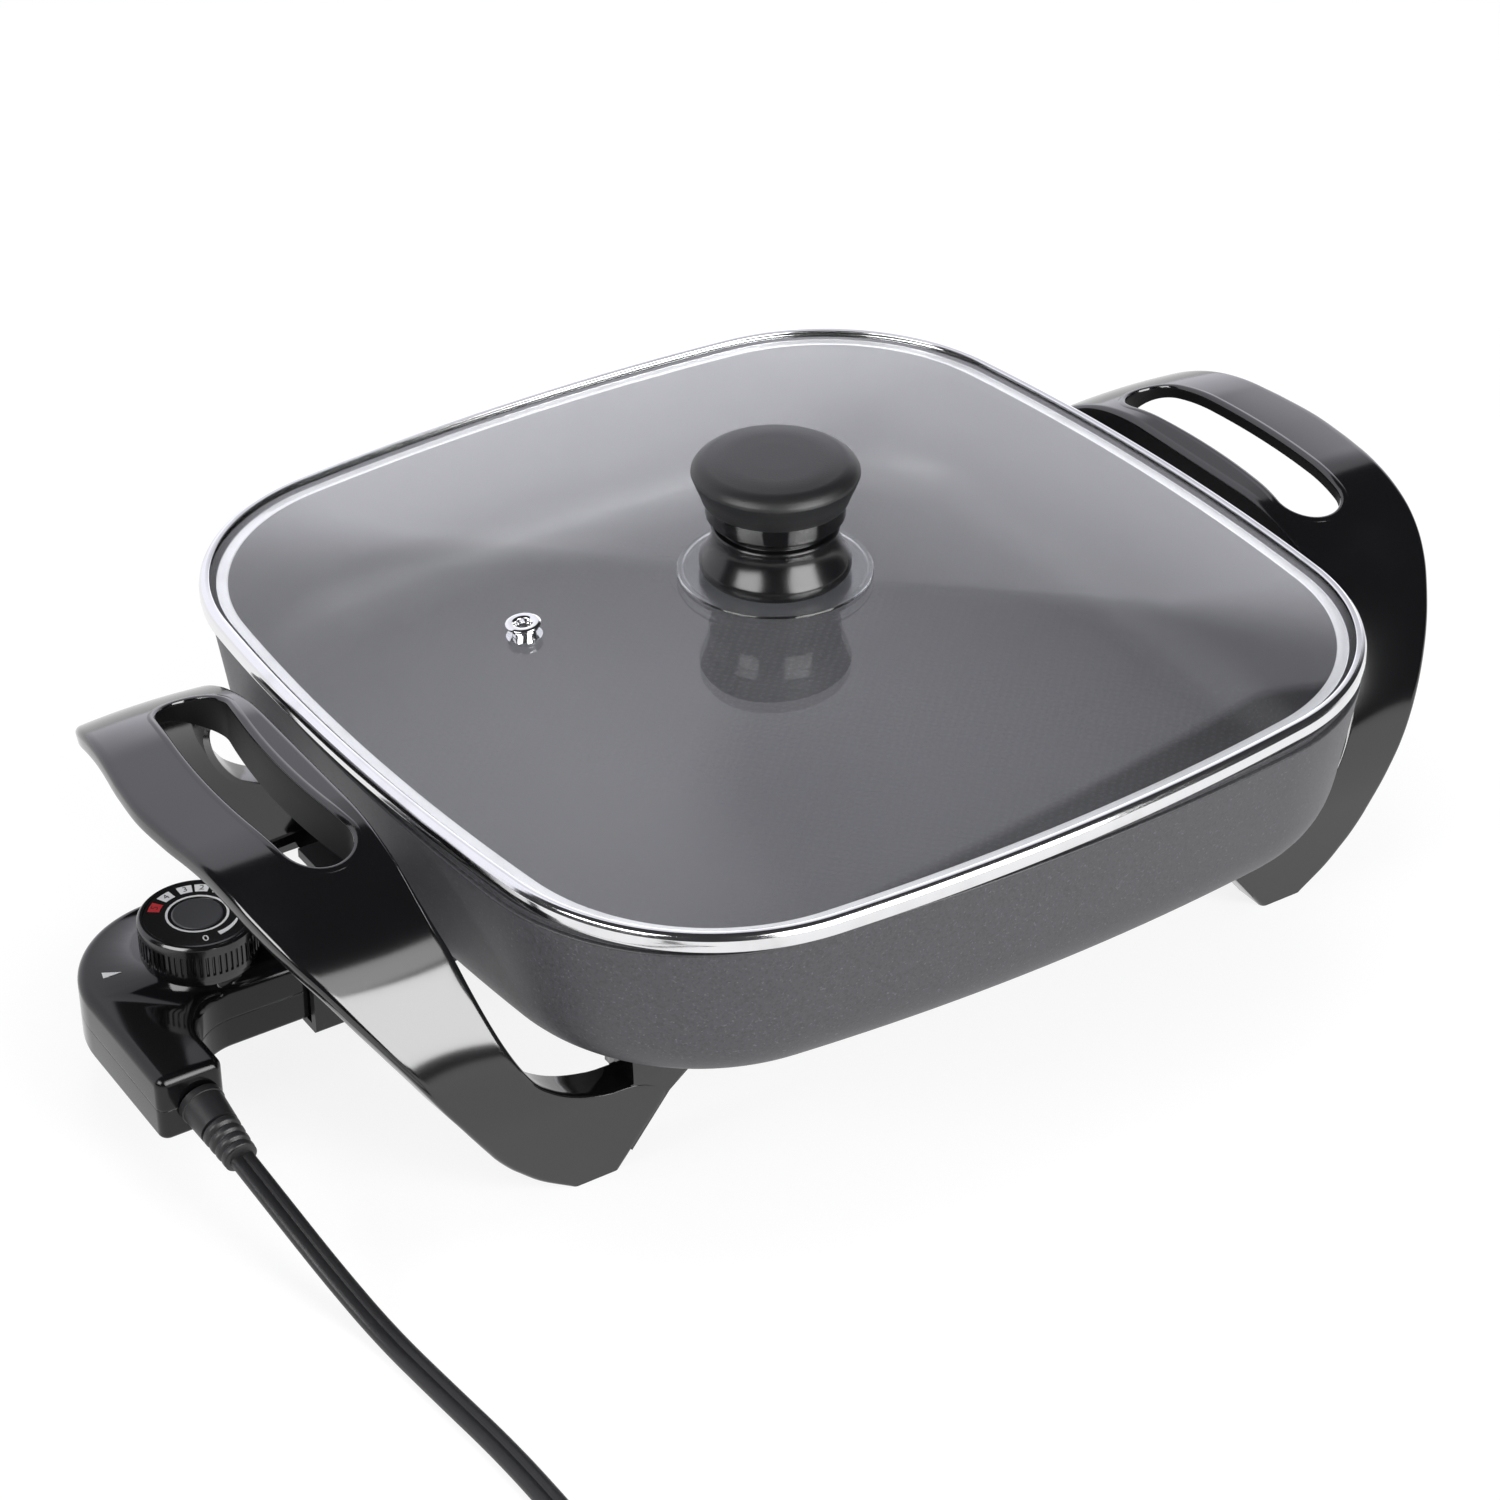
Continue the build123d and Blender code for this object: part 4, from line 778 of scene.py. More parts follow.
@dataclass(frozen=True)
class Studio:
    """Camera, floor, world and lamps."""

    eye: Point = (-0.5416, -0.8358, 0.7058)
    target: Point = (-0.04228, -0.06493, 0.1004)
    lens: float = 92.15
    floor_half: float = 6.0
    floor_colour: Colour = (0.92, 0.92, 0.92)
    floor_glow: float = 0.82    # share of the floor that is plain white to the eye
    sky: float = 0.46
    sky_tint: Colour = (0.97, 0.97, 1.05)
    ceiling: float = 0.60       # what gloss sees over and behind the skillet
    ceiling_left: float = 0.50  # and more of it to the left
    wall: float = 1.05          # and low down on the right
    dark: float = 0.035         # and everywhere else
    lamps: tuple[Lamp, ...] = (
        Lamp("light_right", -75.0, 30.0, 1.7, (0.75, 0.55), 15.0),
        Lamp("light_left", -179.0, 24.0, 1.7, (0.55, 0.55), 9.0),
        Lamp("light_top", 60.0, 78.0, 1.6, (0.9, 0.9), 9.0),
        Lamp("card_right", -77.0, 23.5, 1.7, (1.25, 1.05), 40.0, card=True),
        Lamp("card_right_top", -72.0, 47.0, 1.7, (1.0, 0.30), 3.2, card=True),
        Lamp("card_left", -166.0, 33.0, 1.7, (1.05, 0.75), 22.0, card=True),
    )

    def camera(self) -> None:
        """Camera at its place, square to its target."""
        data = bpy.data.cameras.new("camera")
        data.lens = self.lens
        data.sensor_width = 36.0
        data.clip_start, data.clip_end = 0.02, 30.0
        camera = add_object("camera", data)
        aim(camera, self.eye, self.target)
        bpy.context.scene.camera = camera

    def floor(self) -> None:
        """Wide pale floor that stays near white to the eye and keeps a soft shadow."""
        size = self.floor_half
        corners = [(-size, -size, 0), (size, -size, 0), (size, size, 0), (-size, size, 0)]
        mesh = bpy.data.meshes.new("floor")
        mesh.from_pydata(corners, [], [(0, 1, 2, 3)])
        floor = add_object("floor", mesh)
        shader = Shader("pale_floor")
        shader.set(Base_Color=self.floor_colour, Roughness=0.8, Specular_IOR_Level=0.1)
        glow = shader.node("ShaderNodeEmission", {"Color": (1.0, 1.0, 1.0), "Strength": 1.05})
        eye, gloss, clear = shader.rays()
        share = ((eye + gloss + clear) > 0.5) * self.floor_glow
        sockets = {0: share, 1: shader.bsdf.outputs[0], 2: glow.outputs[0]}
        mixed = shader.node("ShaderNodeMixShader", sockets)
        output = shader.tree.nodes["Material Output"]
        shader.feed(output.inputs["Surface"], mixed.outputs[0])
        mesh.materials.append(shader.material)

    def world(self) -> None:
        """White backdrop to the eye; in gloss a lit wall and ceiling behind, a dark front."""
        world = bpy.data.worlds.new("studio")
        bpy.context.scene.world = world
        shader = Shader("studio", world)
        way = shader.node("ShaderNodeTexCoord").outputs["Generated"]
        right, behind, height = shader.axes(way)
        left = 1 - right.ramp(0.28, 0.52)
        ceiling = behind.ramp(0.491, 0.497) * (self.ceiling + self.ceiling_left * left)
        low = 1 - height.ramp(0.34, 0.55)
        wall = low * behind.ramp(0.15, 0.50) * right.ramp(0.20, 0.42) * self.wall
        room = ceiling + wall + self.dark
        eye, gloss, clear = shader.rays()
        clear = clear > 0.5
        plain = (1 - eye) * (1 - gloss) * (1 - clear)
        level = eye + (1 - eye) * (gloss + clear * (1 - gloss)) * room + plain * self.sky
        back = next(node for node in world.node_tree.nodes if node.type == "BACKGROUND")
        shader.feed(back.inputs["Color"], shader.mix(eye, self.sky_tint, (1.0, 1.0, 1.0)))
        shader.feed(back.inputs["Strength"], level)

    def build(self) -> None:
        """Sets the whole studio."""
        bpy.context.scene.view_settings.view_transform = "Standard"
        self.camera()
        self.floor()
        self.world()
        for lamp in self.lamps:
            lamp.build()
        log.info("studio set")


# ---- Pan ----


@dataclass(frozen=True)
class Pan:
    """Cast pan: drafted walls, deep foot radius and a stepped rim."""

    half: float = 151.3
    ledge_z: float = 96.1
    lip_z: float = 97.5
    lip_half: float = 149.7
    inner_half: float = 147.90
    floor_z: float = 48.3
    underside_z: float = 43.8
    draft: float = 0.14410      # inwards for each millimetre down
    foot_radius: float = 22.9
    inner_radius: float = 19.3
    boss_half: Pair = (4.6, 11.25)
    boss_z: float = 34.9
    boss_span: Pair = (-126.0, -84.0)
    boss_chamfer: float = 0.4
    boss_power: float = 0.25    # that squares up its section

    def profile(self) -> Array:
        """Outline from the middle of the underside, round the rim, to the middle of the floor."""
        outer_low = self.half - self.draft * (self.ledge_z - self.underside_z)
        inner_low = self.inner_half - self.draft * (self.lip_z - self.floor_z)
        points = [
            (0.0, self.underside_z, 0),
            (outer_low, self.underside_z, self.foot_radius),
            (self.half, self.ledge_z, 0.75),
            (self.lip_half, self.ledge_z, 0.3),
            (self.lip_half, self.lip_z, 0.4),
            (self.inner_half, self.lip_z, 0.6),
            (inner_low, self.floor_z, self.inner_radius),
            (0.0, self.floor_z, 0),
        ]
        return rounded_profile(points, 14)

    def boss(self) -> Array:
        """Rounded bar under the pan that takes the probe: a squared circle carried along X."""
        start, end = self.boss_span
        bevel = self.boss_chamfer
        x = PAN_X + np.array([start, start, start + bevel, end - bevel, end, end])[:, None]
        shrink = np.array([0.0, 0.94, 1.0, 1.0, 0.94, 0.0])[:, None]
        across, up = squared(polar(1.0, circle(40)), self.boss_power).T
        wide, tall = self.boss_half
        return metres(x, wide * across * shrink, self.boss_z + tall * up * shrink)

    def build(self) -> None:
        """Makes the pan and its probe boss."""
        surface = SquareOutline(22, 34).surface(self.profile())
        pan = add_surface("pan_body", surface, "skillet", Finish.COATING, "coating", ["pan"])
        further_finish(pan, Finish.INSIDE, lambda upward: upward > 0.05)
        further_finish(pan, Finish.FLOOR, lambda upward: upward > 0.985)
        add_surface("probe_boss", self.boss(), "skillet", Finish.COATING, "coating")


# ---- Handles ----


@dataclass(frozen=True)
class Handle:
    """Handle arch with both its legs: one moulded channel, bent from a flat outline.

    The outline is given on the unrolled sheet: along it from the middle of the grip, and out from
    the pan's middle. The sheet runs level, bends down about two upright circles and falls straight
    to the feet.
    """

    name: str
    way: int                    # 1 right, -1 left
    # along and out for the outer edge, then along and out for the inner edge facing it
    outline: tuple[tuple[float, ...], ...] = (
        (0.0, 213.4, 0.0, 160.0), (15.0, 212.4, 15.0, 160.0), (25.0, 211.1, 25.0, 160.0),
        (35.0, 209.8, 35.0, 160.0), (45.0, 208.5, 45.0, 160.0), (55.0, 206.9, 55.0, 159.9),
        (65.0, 204.4, 65.0, 159.7), (75.0, 200.8, 75.0, 158.9), (85.0, 196.2, 85.0, 157.4),
        (95.0, 191.4, 95.0, 156.0), (105.0, 186.0, 105.0, 154.0), (116.6, 179.4, 116.6, 150.5),
        (129.7, 171.7, 129.7, 143.8), (136.0, 167.6, 135.2, 137.8), (141.5, 164.1, 138.9, 131.4),
        (146.5, 160.8, 141.6, 123.6), (149.0, 159.1, 142.7, 117.6), (150.4, 158.2, 142.8, 113.2),
        (157.0, 152.7, 149.6, 101.4), (158.6, 151.0, 150.6, 101.7), (164.5, 144.4, 160.0, 109.0),
        (171.2, 134.0, 171.2, 117.9),
    )
    crown: float = 25.0         # half of the level run
    radius: float = 75.0
    spring_z: float = 28.4
    sheet: float = 3.2
    toe: float = 168.6          # along, where the leg's solid end begins
    length: float = 171.2
    inner_skirt: float = 12.0
    # the outer skirt's depth at places along the sheet
    outer_skirt: tuple[Pair, ...] = (
        (95.0, 5.5), (118.0, 7.0), (140.0, 9.5), (156.0, 8.5), (168.6, 6.0))
    skirt_wall: float = 2.5
    skirt_round: float = 0.6
    edge_radius: float = 1.9
    under_points: int = 6
    camber: float = 0.9         # that the sheet's edges lie lower than its middle
    level_span: Pair = (92.0, 126.0)     # over which the camber fades out
    seam_run: float = 42.0      # past the hole, over which the strips' seam comes to the middle
    slot_middle: float = 180.3
    slot_half_length: float = 38.5
    slot_bend: float = 3.1
    slot_width: float = 21.0
    slot_margin: float = 1.2    # that the sheet's own hole is wider on every side
    sleeve_z: float = 88.4      # foot of the sleeve on the pan's side
    sleeve_wall: float = 4.4    # and its depth under the sheet on the outer side
    tab_reach: float = 114.0    # out from the pan's middle
    tab_narrowing: float = 0.9985

    def edges(self, along: Array) -> tuple[Array, Array]:
        """The outer and the inner edge for places along the outer edge, each along and out."""
        knots = np.array(self.outline)
        whole = np.concatenate([knots[:0:-1] * (-1, 1, -1, 1), knots])
        curves = [eased(along, whole[:, 0], whole[:, column]) for column in (1, 2, 3)]
        return np.stack([along, curves[0]], 1), np.stack([curves[1], curves[2]], 1)

    def arch(self, along: Array, depth: Array | float = 0.0) -> tuple[Array, Array]:
        """The bent sheet: its angle is the run past the crown over the radius.

        Args:
            along: place along the sheet.
            depth: distance under the sheet's outer face.

        Returns:
            Distance from the arch's middle, and height.
        """
        past = np.abs(along) - self.crown
        angle = np.clip(past / self.radius, 0, pi / 2)
        fall = np.maximum(past - self.radius * pi / 2, 0)
        across = np.minimum(np.abs(along), self.crown) + (self.radius - depth) * np.sin(angle)
        return across, self.spring_z + (self.radius - depth) * np.cos(angle) - fall

    def slot_arc(self) -> tuple[float, float, Array]:
        """The slot's centre line: its radius, half its angle, and its end from the arc's centre."""
        far = (self.slot_half_length**2 + self.slot_bend**2) / (2 * self.slot_bend)
        lean = float(np.arcsin(self.slot_half_length / far))
        return far, lean, polar(far, np.array(lean))

    def hole(self, y: Array) -> tuple[Array, Array, float]:
        """Outer and inner side of the sheet's hole at places along Y, and how far it reaches."""
        far, lean, end = self.slot_arc()
        reach = self.slot_width / 2 + self.slot_margin
        centre = self.slot_middle - far
        last = end[1] + reach
        y = np.minimum(np.abs(y), last)
        cap = np.sqrt(np.maximum(reach**2 - (y - end[1]) ** 2, 0))
        sides = []
        for way in (1, -1):
            arc = centre + np.sqrt((far + way * reach) ** 2 - y**2)
            tip = centre + end[0] + way * cap
            sides.append(np.where(y < (far + way * reach) * sin(lean), arc, tip))
        outer, inner = sides
        return outer, np.where((y > end[1]) & (cap < 1e-3), outer, inner), last

    def rows(self) -> Array:
        """Places along the sheet, closer together towards the hole's ends and at the feet."""
        last = self.hole(np.zeros(1))[2]
        slot_end = self.crown + self.radius * float(np.arcsin((last - self.crown) / self.radius))
        middle = slot_end * np.sin(np.linspace(-pi / 2, pi / 2, 91))
        leg = np.linspace(slot_end, self.toe, 96)[1:]
        foot = [self.toe, self.toe + 0.8, self.toe + 1.8, self.length, self.length]
        outer = np.concatenate([leg, foot])
        return np.concatenate([-outer[::-1], middle, outer])

    def dip(self, share: Array, along: Array | float = 0.0) -> Array:
        """How far the sheet lies lower at a share of its width: a parabola, none in the legs."""
        start, end = self.level_span
        flat = np.clip((np.abs(along) - start) / (end - start), 0, 1)
        return self.camber * (2 * share - 1) ** 2 * (1 - smoothstep(flat))

    def section(self, reach: Array, skirt: Array, thick: Array) -> tuple[Array, Array]:
        """Section of a strip of the channel, on each of its rows.

        It runs from the skirt's foot up its side, over a rounded edge, across the sheet to the
        slot, down through it, and back under the sheet.

        Args:
            reach: how far the strip goes in from its edge.
            skirt: how deep its skirt hangs.
            thick: how thick its sheet is.

        Returns:
            Distances in from the edge, and depths under the outer face.
        """
        turn = np.linspace(0, pi / 2, 7)
        edge, foot = self.edge_radius, self.skirt_round
        rim = np.concatenate(
            [[self.skirt_wall, foot, foot / 4, 0.0, 0.0], edge - edge * np.cos(turn)])
        fall = np.stack([skirt, skirt, skirt - foot / 4, skirt - foot, skirt * 0.6], 1)
        reach = reach[:, None]
        top = rim[-1] + (reach - rim[-1]) * np.linspace(0, 1, 17)[1:]
        under = self.skirt_wall + (reach - self.skirt_wall) * np.linspace(1, 0, self.under_points)
        offset = np.concatenate([np.tile(rim, (len(reach), 1)), top, under], 1)
        edge_fall = np.tile(edge - edge * np.sin(turn), (len(reach), 1))
        below = np.broadcast_to(thick[:, None], under.shape)
        return offset, np.concatenate([fall, edge_fall, np.zeros_like(top), below], 1)

    def channel(self) -> Mesh:
        """The whole channel as two strips that part round the slot.

        Away from the slot both strips share their last columns and have no wall there.
        """
        along = self.rows()
        outer, inner = self.edges(along)
        width = np.linalg.norm(inner - outer, axis=1)
        run, _ = self.arch(along)
        high, low, last = self.hole(run)
        inside = run < last - 1e-6
        seam = (outer[:, 1] - high) / (outer[:, 1] - inner[:, 1])
        ease = smoothstep(np.clip((run - last) / self.seam_run, 0, 1))
        beyond = seam * (1 - ease) + 0.5 * ease
        far_share = np.where(inside, seam, beyond)
        near_share = 1 - np.where(
            inside, (outer[:, 1] - low) / (outer[:, 1] - inner[:, 1]), beyond)
        place, depth = np.array(self.outer_skirt).T
        skirt = eased(np.clip(np.abs(along), place[0], place[-1]), place, depth)
        thick = np.where(np.abs(along) > self.toe + 1e-6, skirt[-1], self.sheet)
        points, quads, count = [], [], 0
        for start, stop, share, fall in (
            (outer, inner, far_share, skirt),
            (inner, outer, near_share, np.full(len(along), self.inner_skirt)),
        ):
            offset, depth = self.section(share * width, fall, thick)
            part = offset / width[:, None]
            fade = np.clip(1 - depth / self.inner_skirt, 0, 1)
            depth = depth + self.dip(part, along[:, None]) * fade
            place = start[:, None] + (stop - start)[:, None] * part[..., None]
            across, height = self.arch(place[..., 0], depth)
            surface = metres(
                PAN_X + self.way * place[..., 1], np.sign(place[..., 0]) * across, height)
            surface[[0, -1]] = surface[[0, -1]].mean(1)[:, None]
            rows, columns = surface.shape[:2]
            row, column = np.meshgrid(np.arange(rows - 1), np.arange(columns), indexing="ij")
            wall = column == columns - 1 - self.under_points
            shown = ~wall | (inside[:-1] | inside[1:])[:, None] | (row == 0) | (row == rows - 2)
            quads.append(count + grid_quads(row[shown], column[shown], rows, columns))
            points.append(surface.reshape(-1, 3))
            count += rows * columns
        name = f"handle_{self.name}_channel"
        mesh = quad_mesh(name, np.concatenate(points), np.concatenate(quads))
        return tidy(mesh, SAME_PLACE, 34)

    def bead(self, count: int = 168) -> Array:
        """The slot's rounded rim and sleeve: a section carried round the banana slot.

        The slot is an arc about a far centre, thickened by half its width; its ends are half
        circles. Each point's height is the sheet's height there plus the section's, down to the
        sleeve's foot, which is level on the pan's side and rises round the ends to just under the
        sheet on the outer side.
        """
        far, lean, end = self.slot_arc()
        section = np.array([
            (3.0, -0.5), (2.7, -0.04), (2.1, 0.14), (1.4, 0.22), (0.8, 0.12), (0.3, -0.22),
            (0.02, -0.75), (-0.05, -1.5), (-0.05, -6.0), (-0.05, -99.0), (1.8, -99.0), (1.8, -3.6),
        ])
        reach = self.slot_width / 2 + section[:, :1]
        side = np.linspace(-lean, lean, count // 3, endpoint=False)
        cap = np.linspace(0, pi, count // 6, endpoint=False)
        ring = np.concatenate([
            polar(far + reach, side), polar(reach, lean + cap, end),
            polar(far - reach, -side), polar(reach, pi - lean + cap, end * (1, -1)),
        ], 1)
        x, y = ring[..., 0] - far + self.slot_middle, ring[..., 1]
        past = np.maximum(np.abs(y) - self.crown, 0)
        arch = self.spring_z + np.sqrt(self.radius**2 - past**2)
        along = np.minimum(np.abs(y), self.crown) + self.radius * np.arcsin(past / self.radius)
        outer, inner = (edge[:, 1].reshape(x.shape) for edge in self.edges(along.ravel()))
        across = (x - self.slot_middle + far - np.sqrt(far**2 - y**2)) / self.slot_width
        lift = smoothstep(np.clip(across + 0.5, 0, 1))
        foot = self.sleeve_z + (arch - self.sleeve_wall - self.sleeve_z) * lift
        sheet = arch - self.dip((outer - x) / (outer - inner))
        return metres(PAN_X + self.way * x, y, np.maximum(sheet + section[:, 1:], foot))

    def tabs(self) -> Mesh:
        """The screw tabs under the pan, cut from the CAD handle and drawn in under the channel."""
        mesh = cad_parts[f"handle_{self.name}"].data.copy()
        work = bmesh.new()
        work.from_mesh(mesh)
        bmesh.ops.remove_doubles(work, verts=work.verts, dist=SAME_PLACE)
        bmesh.ops.bisect_plane(
            work, geom=[*work.verts, *work.edges, *work.faces], clear_outer=True,
            plane_co=((PAN_X + self.way * self.tab_reach) * MM, 0, 0), plane_no=(self.way, 0, 0))
        bmesh.ops.holes_fill(work, edges=[edge for edge in work.edges if edge.is_boundary])
        bmesh.ops.scale(work, vec=(1, self.tab_narrowing, 1), verts=work.verts)
        work.to_mesh(mesh)
        work.free()
        return tidy(mesh, SAME_PLACE, 28, turn=False)

    def build(self) -> None:
        """Makes the handle's channel, its slot rim and its tabs."""
        node = f"handle_{self.name}"
        look = "skillet", Finish.GLOSS, "gloss_black"
        add_piece(f"{node}_channel", self.channel(), *look, [node])
        rim = add_surface(f"{node}_slot_rim", self.bead(), *look, closed=True)
        further_finish(rim, Finish.GUARD, lambda upward: np.abs(upward) < 0.3)
        add_piece(f"{node}_tabs", self.tabs(), *look)


# ---- Lid ----


@dataclass(frozen=True)
class Lid:
    """Domed glass in a rolled steel rim, with its steam vent."""

    half: float = 152.0
    pan_lip_z: float = 97.5
    glass_z: float = 98.1
    thickness: float = 4.4
    glass_inset: float = 0.9    # of the ground edge, inside the rim
    dome_half: float = 145.4
    dome_rise: float = 9.5
    vent: Pair = (-78.3, 18.7)

    def dome(self, half: Any) -> Any:
        """Rise over the glass's rim: a parabola that runs on down under the steel strip."""
        return self.dome_rise * (1 - (half / self.dome_half) ** 2)

    def glass(self) -> Array:
        """Upper face out to the ground edge, and the lower face back in."""
        low, high = self.glass_z, self.glass_z + self.thickness
        face = np.concatenate([np.linspace(0, 0.9, 16), np.linspace(0.92, 1.015, 12)])
        face = face * self.dome_half
        edge, start = self.half - self.glass_inset, face[-1] + 0.6
        top = high + float(self.dome(face[-1]))
        upper = np.stack([face, high + self.dome(face)], 1)
        lower = np.stack([face[::-1], low + np.maximum(self.dome(face[::-1]), 0)], 1)
        border = [(start, top, 0), (edge, top, 1), (edge, low, 1), (start, low, 0)]
        return np.concatenate([upper, rounded_profile(border, 6), lower])

    def rim(self) -> Array:
        """Rolled strip: flange under the glass, round belly outside, and a narrow turned-in top."""
        points = [
            (-6.0, 0.3, 0), (-6.0, 0.0, 0.2), (-0.16, 0.0, 1.3), (-0.06, 2.8, 3.0),
            (-0.25, 4.1, 1.0), (-0.75, 5.1, 1.0), (-1.7, 5.8, 1.1), (-3.4, 5.65, 0.3),
            (-3.4, 5.1, 0.3), (-1.2, 5.05, 0.8), (-0.6, 3.0, 1.0), (-0.6, 0.6, 0.5),
            (-6.0, 0.6, 0.2), (-6.0, 0.3, 0),
        ]
        return rounded_profile(points, 5, (self.half, self.pan_lip_z))[:-1]

    def flange(self) -> Array:
        """Flat inner edge of the strip, seen through the glass."""
        points = (-9.3, 0.3), (-9.0, 0.08), (-6.2, 0.06), (-5.0, 0.3), (-6.2, 0.56), (-9.0, 0.54)
        return np.array(points) + (self.half, self.pan_lip_z)

    def eyelet(self) -> Array:
        """The steam vent, turned about an axis that leans with the dome's slope."""
        reach = hypot(*self.vent)
        slope = 2 * self.dome_rise * reach / self.dome_half**2
        turned = rotated(np.array(self.vent), LID_TURN)
        place = (PAN_X + turned[0], turned[1], self.glass_z + self.thickness + self.dome(reach))
        points = [
            (-5.9, 3.5, 0), (0.1, 3.6, 0.2), (0.15, 4.7, 0.2), (0.9, 4.1, 0.5), (1.35, 5.3, 0.2),
            (1.95, 5.45, 0.3), (2.35, 4.6, 0.5), (2.3, 3.3, 0.4), (1.8, 2.7, 0.3), (0.2, 2.3, 0.4),
            (-5.9, 2.25, 0), (-5.9, 3.5, 0),
        ]
        axis = np.array([*(turned / reach * slope), 1.0])
        return turned_about(rounded_profile(points, 6)[:-1], np.array(place), axis)

    def build(self) -> None:
        """Makes glass, rim and vent."""
        outline = SquareOutline(24, 36)
        for name, surface, finish, slot, nodes, closed in (
            ("lid_glass_pane", outline.surface(self.glass(), LID_TURN), Finish.GLASS, "glass",
             ["lid_glass"], False),
            ("lid_rim_band", outline.surface(self.rim(), LID_TURN), Finish.RIM, "rim_steel",
             ["lid_rim"], True),
            ("lid_rim_flange", outline.surface(self.flange(), LID_TURN), Finish.FLANGE, "rim_steel",
             [], True),
            ("steam_vent_eyelet", self.eyelet(), Finish.CHROME, "rim_steel", ["steam_vent"], True),
        ):
            piece = add_surface(name, surface, "lid", finish, slot, nodes, closed=closed)
            piece.visible_shadow = finish is not Finish.GLASS


@dataclass(frozen=True)
class Knob:
    """Knob: clear seat, glossy bell, glossy collar and a matte cap."""

    centre: Pair = (PAN_X, 0.0)
    seat_z: float = 112.1
    base_z: float = 112.8
    lip_z: float = 128.0
    ring_z: float = 131.0
    top_z: float = 137.4
    foot_radius: float = 23.15
    foot_rise: float = 3.6
    waist_rise: float = 1.7     # under the lip

    def seat(self) -> Array:
        """Thin disc with a raised bead at its edge."""
        points = [
            (2.3, 0.0, 0), (29.6, -0.25, 0.2), (30.0, 0.1, 0.3), (29.6, 0.7, 0.3),
            (28.4, 0.72, 0.3), (27.8, 0.55, 0.3), (2.3, 0.68, 0),
        ]
        return rounded_profile(points, 5, (0.0, self.seat_z))

    def bell(self) -> Array:
        """Bell that sweeps in from its foot to the waist, with a thin lip and a dark neck."""
        low, neck = self.base_z + self.foot_rise, self.ring_z - self.lip_z
        foot = [(3.7, 0.0, 0), (22.2, 0.0, 1.2), (23.2, 1.6, 1.6),
                (self.foot_radius, self.foot_rise, 0)]
        rise = np.linspace(0, 1, 18)[1:]
        radius = self.foot_radius - 4.25 * np.sin(rise * pi / 2) ** 1.15
        sweep = np.stack([radius, low + rise * (self.lip_z - self.waist_rise - low)], 1)
        lips = [
            (18.9, -self.waist_rise, 0), (19.3, -1.45, 0.3), (19.5, -0.6, 0.5), (19.0, 0.0, 0.4),
            (17.2, 0.0, 0.3), (17.0, neck, 0.2), (5.3, neck, 0),
        ]
        return np.concatenate([
            rounded_profile(foot, 8, (0.0, self.base_z)), sweep,
            rounded_profile(lips, 6, (0.0, self.lip_z)),
        ])

    def collar(self) -> Array:
        """Glossy collar with a bevelled lower edge."""
        tall = self.top_z - self.ring_z
        points = [(5.3, 0.0, 0), (20.2, 0.0, 0.5), (21.2, 0.9, 0.6), (21.4, tall - 0.3, 0.3),
                  (21.1, tall, 0.2), (5.3, tall, 0)]
        return rounded_profile(points, 6, (0.0, self.ring_z))

    def cap(self) -> Array:
        """Skirt, flaring flank, creased brim and soft dome."""
        points = [
            (0.0, 0.0, 0), (22.3, 0.0, 0.3), (23.1, 2.4, 99), (24.5, 5.6, 99), (25.5, 8.4, 0.3),
            (25.3, 9.3, 99), (24.1, 10.9, 99), (22.0, 12.2, 99), (16.5, 12.95, 99),
            (8.0, 13.1, 99), (0.0, 13.1, 0),
        ]
        return rounded_profile(points, 12, (0.0, self.top_z))

    def build(self) -> None:
        """Makes the knob's four pieces."""
        for name, profile, finish, slot, node in (
            ("knob_seat_disc", self.seat(), Finish.SEAT, "clear_seal", "knob_seat"),
            ("knob_bell", self.bell(), Finish.BELL, "gloss_black", "knob_base"),
            ("knob_collar", self.collar(), Finish.GLOSS, "gloss_black", "knob_ring"),
            ("knob_cap", self.cap(), Finish.MATTE, "matte_black", "knob_top"),
        ):
            piece = add_surface(name, lathe(profile, self.centre, 128), "lid", finish, slot,
                                [node], closed=profile[0, 0] > 0)
            piece.visible_shadow = finish is not Finish.SEAT


# ---- Controller ----


@dataclass(frozen=True)
class Controller:
    """Plug-in temperature controller: two glossy shells."""

    sharp_angle: float = 28.0

    def build(self) -> None:
        """Copies both CAD shells and merges them so that their curved faces shade smoothly."""
        for half in ("upper", "lower"):
            node = f"controller_{half}_housing"
            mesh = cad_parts[node].data.copy()
            mesh = tidy(mesh, SAME_PLACE, self.sharp_angle, turn=False)
            add_piece(f"{node}_shell", mesh, "controller", Finish.HOUSING, "gloss_black", [node])


